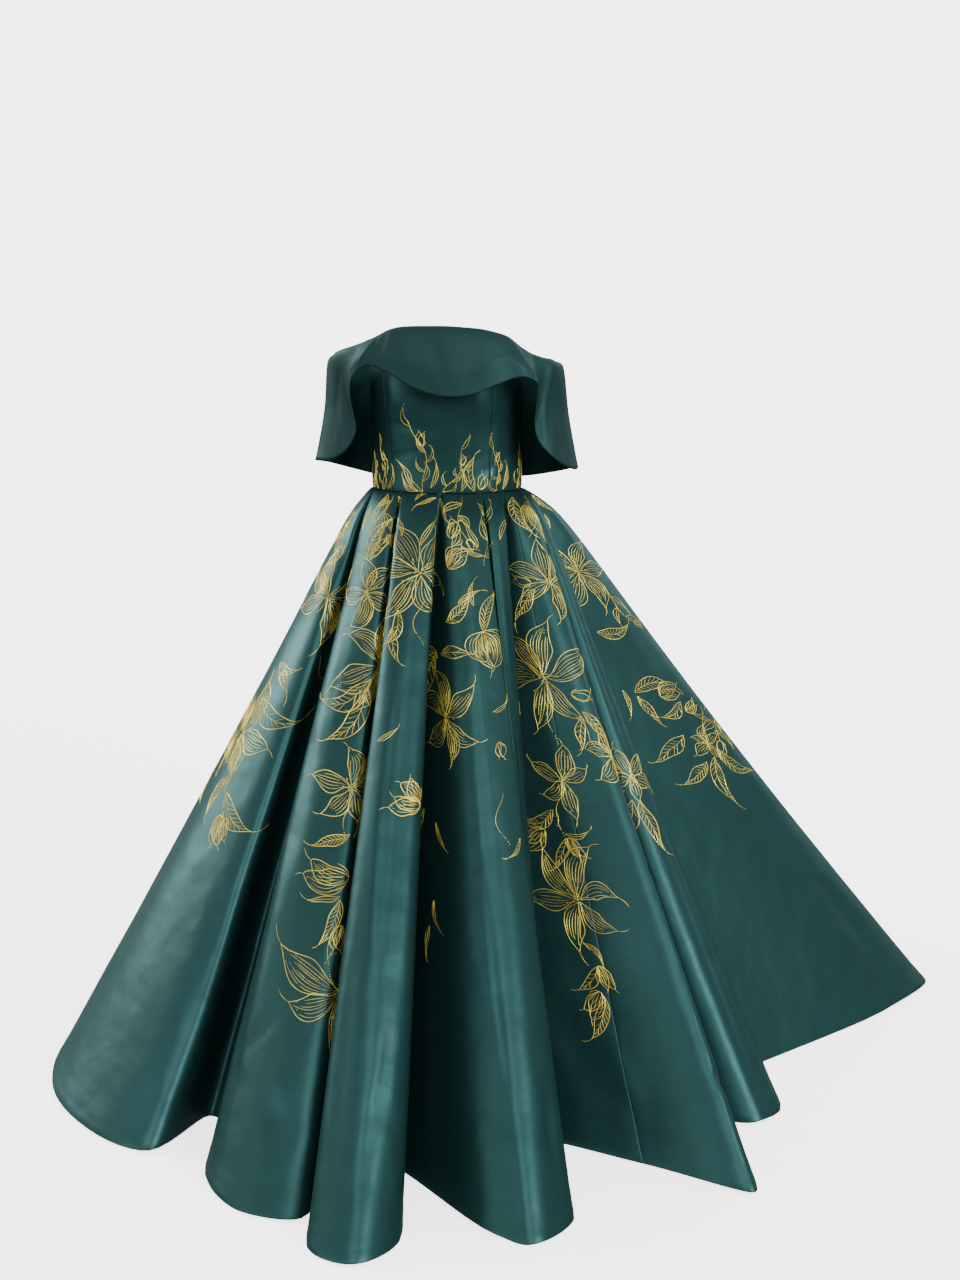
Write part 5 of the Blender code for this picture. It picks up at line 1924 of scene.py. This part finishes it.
@dataclass
class Collar:
    """Wide off-shoulder collar: a band folded at its crest, hem hanging."""

    finishes: Finishes
    bodice: Bodice
    station_steps: int = 9
    section_steps: tuple[int, ...] = (6, 6, 7, 16, 16)
    wide: float = 0.230
    deep: float = 0.125
    free_az: float = 60.0
    fade_az: float = 22.0
    turn_in: float = 0.013
    roll: float = 0.0070
    shoulder: float = 0.0063
    shoulder_drop: float = 0.006
    rise_in: float = 0.0018
    rise_share: float = 0.65
    belly: float = 0.006
    arm_belly: float = -0.003
    hem_roll: float = 0.0004
    sway: Undulation = Undulation(41, 10, (5, 22), 2.5, 0.0009)
    seam_stations: tuple[int, int] = (5, 29)
    shell: Shell = Shell(thick=0.0016, rim=0.5, seam_dip=0.0006, seam_reach=0.0024)

    def section(self, crest: Array, hem: Array) -> Array:
        """Section of the collar at one place.

        Args:
            crest: its highest point.
            hem: its lowest point.

        Returns:
            Points from its inner end over the crest to the hem.
        """
        azimuth = abs(math.degrees(math.atan2(crest[0], -crest[1])))
        outward = unit(np.array([crest[0] / self.wide**2, crest[1] / self.deep**2, 0.0]))
        on_body = np.array(
            [math.degrees(math.atan2(crest[0] / WAIST_HALF_WIDTH, -crest[1] / WAIST_FRONT))]
        )
        seat = self.bodice.points_at(on_body, self.bodice.top_at(on_body))[0]
        seat[2] += SEAM_GAP
        free = crest - outward * self.roll
        free[2] -= self.turn_in
        start = self.free_az - self.fade_az
        off = min(float(ease((az - start) / self.fade_az)) for az in (azimuth, 180.0 - azimuth))
        inner_end = seat * (1.0 - off) + free * off
        rise = 0.5 * (inner_end + crest) - outward * self.rise_in
        rise[2] = inner_end[2] + self.rise_share * (crest[2] - inner_end[2])
        shoulder = crest + outward * self.shoulder
        shoulder[2] -= self.shoulder_drop
        side = outward[0] ** 2
        bow = self.belly * (1.0 - side) + self.arm_belly * side
        middle = 0.5 * (shoulder + hem) + outward * bow
        return curve([inner_end, rise, crest, shoulder, middle, hem], self.section_steps, False)

    def surface(self) -> Cloth:
        """Sweep the section round the body.

        Returns:
            Shown side of the whole collar, smooth.
        """
        steps = (self.station_steps,)
        crests = curve([station[:3] for station in COLLAR_STATIONS], steps, True)
        hems = curve([station[3:] for station in COLLAR_STATIONS], steps, True)
        columns = [self.section(crest, hem) for crest, hem in zip(crests, hems)]
        hollow = Cloth(np.array(columns).transpose(1, 0, 2), True)
        return hollow.raised(np.full(hollow.points.shape[:2], self.shell.thick))

    def build(self) -> None:
        """Make the three collar pieces."""
        cloth = self.surface()
        creases = [c._replace(place=c.place * self.station_steps) for c in COLLAR_CREASES]
        heights = cloth.creased(creases)
        heights += self.sway.over(cloth) * ease(cloth.down / 0.05)
        heights += self.hem_roll * mound(cloth.to_hem - 0.004, 0.004)
        cloth = cloth.raised(heights)
        right, left = (station * self.station_steps for station in self.seam_stations)
        for name, start, end in (
            ("collar_back_right", 0, right),
            ("collar_front", right, left),
            ("collar_back_left", left, cloth.count),
        ):
            grid, places = self.shell.cut(cloth, start, end)
            piece = link(name + "_satin", self.shell.mesh(name, grid, places))
            dress(piece, (self.finishes.shaded_collar_satin, self.finishes.lining), name)


@dataclass
class Zip:
    """Concealed zip at the centre back: tape, teeth, slider and pull."""

    finishes: Finishes
    bodice: Bodice
    wall: float = 0.0015
    tape_in: float = 0.0018
    tape_width: float = 0.022
    tape_top: float = 0.236
    skirt_top: float = 0.022
    skirt_depth: float = 0.1552
    tape: Shell = Shell(thick=0.0006, rim=0.4)
    tooth: tuple[float, float, float] = (0.0016, 0.0007, 0.0005)
    tooth_pitch: float = 0.0022
    tooth_aside: float = 0.0006
    tooth_behind: float = 0.0004
    stitch: tuple[float, float, float] = (0.0015, 0.00025, 0.0002)
    stitch_pitch: float = 0.0042
    edge_round: float = 0.00022

    def line(self, skirt: Cloth, column: float) -> Array:
        """Line of the tape, a way behind the cloth.

        Args:
            skirt: the whole skirt.
            column: its column at the centre back.

        Returns:
            Depth and height of the line's points, from the top down.
        """
        heights = np.linspace(self.tape_top, 0.0, 26)
        back = self.bodice.points_at(np.full(26, 180.0), heights)
        depths = np.linspace(self.skirt_top, self.skirt_depth, 14)
        rows = np.interp(depths, -skirt.points[:, int(column), 2], np.arange(len(skirt.points)))
        lower, _ = skirt.at(rows, np.full(len(rows), column))
        path = np.vstack([back[:, 1:], lower[:, 1:]])
        along = unit(np.gradient(path, axis=0))
        inward = self.wall + self.tape_in
        return path + np.stack([along[:, 1], -along[:, 0]], axis=1) * inward

    def build(self, skirt: Cloth, column: float) -> None:
        """Make the tape, its teeth and stitches, the slider and the pull.

        Args:
            skirt: the whole skirt.
            column: its column at the centre back.
        """
        across = np.linspace(self.tape_width / 2, -self.tape_width / 2, 9)
        line = self.line(skirt, column)
        cloth = Cloth(np.array([[(x, y, z) for x in across] for y, z in line]), False)
        places = np.dstack([cloth.across, cloth.down])
        piece = link("zip_tape_woven", self.tape.mesh("zip_tape", cloth.points, places))
        dress(piece, (self.finishes.tape, self.finishes.tape), "zip_tape")
        sewn = [self.set_teeth(cloth), self.stitch_tape(cloth)]
        self.dress_metal("zip_slider", GOWN_BODY)
        self.dress_metal("zip_pull", PULL_BODY)

    def set_teeth(self, cloth: Cloth) -> Piece:
        """Teeth down the middle of the tape, by turns from each side.

        Args:
            cloth: the tape.

        Returns:
            The teeth, as one piece.
        """
        length = float(cloth.down[-1, 4])
        count = int(length / self.tooth_pitch)
        wanted = np.linspace(0.006, length - 0.004, count)
        rows = np.interp(wanted, cloth.down[:, 4], np.arange(len(cloth.points)))
        middle, normals = cloth.at(rows, np.full(count, 4.0))
        side = np.cross(normals, unit(np.gradient(middle, axis=0)))
        hand = np.where(np.arange(count) % 2 == 0, 1.0, -1.0)[:, None]
        behind = self.tape.thick + self.tooth_behind
        points = middle + side * hand * self.tooth_aside - normals * behind
        finish = self.finishes.tape
        made = repeated("zip_teeth", Repeat.TOOTH, self.tooth, finish, points, -normals, side)
        return dress(made, ())

    def stitch_tape(self, cloth: Cloth) -> Piece:
        """A row of stitches along each side of the tape.

        Args:
            cloth: the tape.

        Returns:
            The stitches, as one piece.
        """
        count = int(float(cloth.down[-1, 4]) / self.stitch_pitch)
        rows = np.linspace(0.3, len(cloth.points) - 1.3, count)
        lines = []
        for column in (1.0, 7.0):
            place, normals = cloth.at(rows, np.full(count, column))
            behind = place - normals * (self.tape.thick + 0.0001)
            lines.append((behind, -normals, unit(np.gradient(place, axis=0))))
        values = (np.vstack(parts) for parts in zip(*lines))
        name, finish = "zip_tape_stitches", self.finishes.tape
        made = repeated(name, Repeat.STITCH, self.stitch, finish, *values)
        return dress(made, ())

    def dress_metal(self, node: str, body: str) -> None:
        """Copy a metal part of the CAD with softened edges.

        Args:
            node: the part's node.
            body: the body that it moves with.
        """
        work = bmesh.new()
        work.from_mesh(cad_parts[node].data)
        bmesh.ops.remove_doubles(work, verts=work.verts, dist=1e-6)
        flat_within = math.radians(2.0)
        bmesh.ops.dissolve_limit(
            work, angle_limit=flat_within, verts=work.verts, edges=work.edges
        )
        mesh = bpy.data.meshes.new(node + "_metal")
        work.to_mesh(mesh)
        work.free()
        mesh.materials.clear()
        piece = link(node + "_metal", mesh)
        bevel = piece.modifiers.new("softened", "BEVEL")
        bevel.width = self.edge_round
        bevel.segments = 2
        bevel.limit_method = "ANGLE"
        made = applied(piece)
        made.shade_smooth()
        made.set_sharp_from_angle(angle=math.radians(40.0))
        dress(piece, (self.finishes.zip_metal,), node, body)


class Lamp(NamedTuple):
    """A soft distant light: azimuth, elevation and size in degrees."""

    name: str
    azimuth: float
    elevation: float
    strength: float
    size: float
    colour: Colour = (1.0, 1.0, 1.0)


@dataclass
class Studio:
    """Pale floor, soft light and the camera at the photograph's angle."""

    camera_place: tuple[float, float, float] = (0.454, -3.168, 0.34)
    pitch: float = 11.393
    yaw: float = 7.0
    lens: float = 46.14
    sensor: float = 36.0
    view_end: float = 200.0
    floor_radius: float = 40.0
    floor_height: float = -1.1112
    floor_glow: float = 2.5
    world_light: float = 0.25
    world_seen: float = 4.9
    lamps: tuple[Lamp, ...] = (
        Lamp("left", -111.0, 24.0, 3.7, 26.0, (1.0, 0.995, 0.98)),
        Lamp("right", 49.0, 16.0, 4.9, 28.0, (0.98, 0.99, 1.0)),
        Lamp("front", 0.0, 36.0, 2.3, 32.0),
        Lamp("fill", -50.0, 5.0, 1.8, 44.0),
        Lamp("back_left", 135.0, 35.0, 1.8, 50.0),
        Lamp("back", 190.0, 55.0, 2.0, 50.0),
    )

    def build(self) -> None:
        """Make the floor, the lights, the world and the camera."""
        self.lay_floor()
        for lamp in self.lamps:
            light = bpy.data.lights.new(lamp.name, "SUN")
            light.energy = lamp.strength
            light.angle = math.radians(lamp.size)
            light.color = lamp.colour
            self.aim(lamp.name, light, 90.0 - lamp.elevation, lamp.azimuth)
        self.shade_world()
        camera = bpy.data.cameras.new("photo_camera")
        camera.lens = self.lens
        camera.sensor_width = self.sensor
        camera.clip_end = self.view_end
        holder = self.aim("photo_camera", camera, 90.0 - self.pitch, self.yaw)
        holder.location = self.camera_place
        bpy.context.scene.camera = holder

    def aim(self, name: str, data: bpy.types.ID, tilt: float, turn: float) -> bpy.types.Object:
        """Put a light or a camera into the scene, turned.

        Args:
            name: its name.
            data: the light or the camera.
            tilt: turn about the X axis, in degrees.
            turn: turn about the Z axis after that, in degrees.

        Returns:
            The object that holds it.
        """
        holder = bpy.data.objects.new(name, data)
        holder.rotation_euler = (math.radians(tilt), 0.0, math.radians(turn))
        bpy.context.scene.collection.objects.link(holder)
        return holder

    def lay_floor(self) -> None:
        """A pale floor just under the hem."""
        work = bmesh.new()
        bmesh.ops.create_circle(work, cap_ends=True, segments=96, radius=self.floor_radius)
        bmesh.ops.translate(work, verts=work.verts, vec=(0.0, 0.0, self.floor_height))
        mesh = bpy.data.meshes.new("floor")
        work.to_mesh(mesh)
        work.free()
        material = bpy.data.materials.new("pale_floor")
        material.use_nodes = True
        shader = material.node_tree.nodes["Principled BSDF"].inputs
        for key, value in {
            "Base Color": (0.90, 0.90, 0.90, 1.0),
            "Roughness": 0.9,
            "Specular IOR Level": 0.1,
            "Emission Color": (1.0, 1.0, 1.0, 1.0),
            "Emission Strength": self.floor_glow,
        }.items():
            shader[key].default_value = value
        mesh.materials.append(material)
        floor = link("floor", mesh)
        floor.visible_diffuse = False
        floor.visible_glossy = False

    def shade_world(self) -> None:
        """Even pale surroundings, brighter to the eye than as a light."""
        world = bpy.data.worlds.new("studio")
        world.use_nodes = True
        tree = Tree(world.node_tree)
        seen = tree.node("ShaderNodeLightPath").outputs["Is Camera Ray"]
        shade = world.node_tree.nodes["Background"].inputs
        shade["Color"].default_value = (1.0, 1.0, 1.0, 1.0)
        strength = tree.spread(seen, 0.0, 1.0, self.world_light, self.world_seen)
        tree.put(shade["Strength"], strength)
        bpy.context.scene.world = world


def main() -> None:
    """Build the studio, then the gown from the waist out."""
    logging.basicConfig(level=logging.INFO, format="%(name)s: %(message)s")
    finishes = Finishes()
    Studio().build()
    skirt = Skirt(finishes)
    skirt_cloth = skirt.build()
    bodice = Bodice(finishes)
    bodice.build()
    Collar(finishes, bodice).build()
    Zip(finishes, bodice).build(skirt_cloth, skirt.place("j", 1.0))


if __name__ == "__main__":
    main()
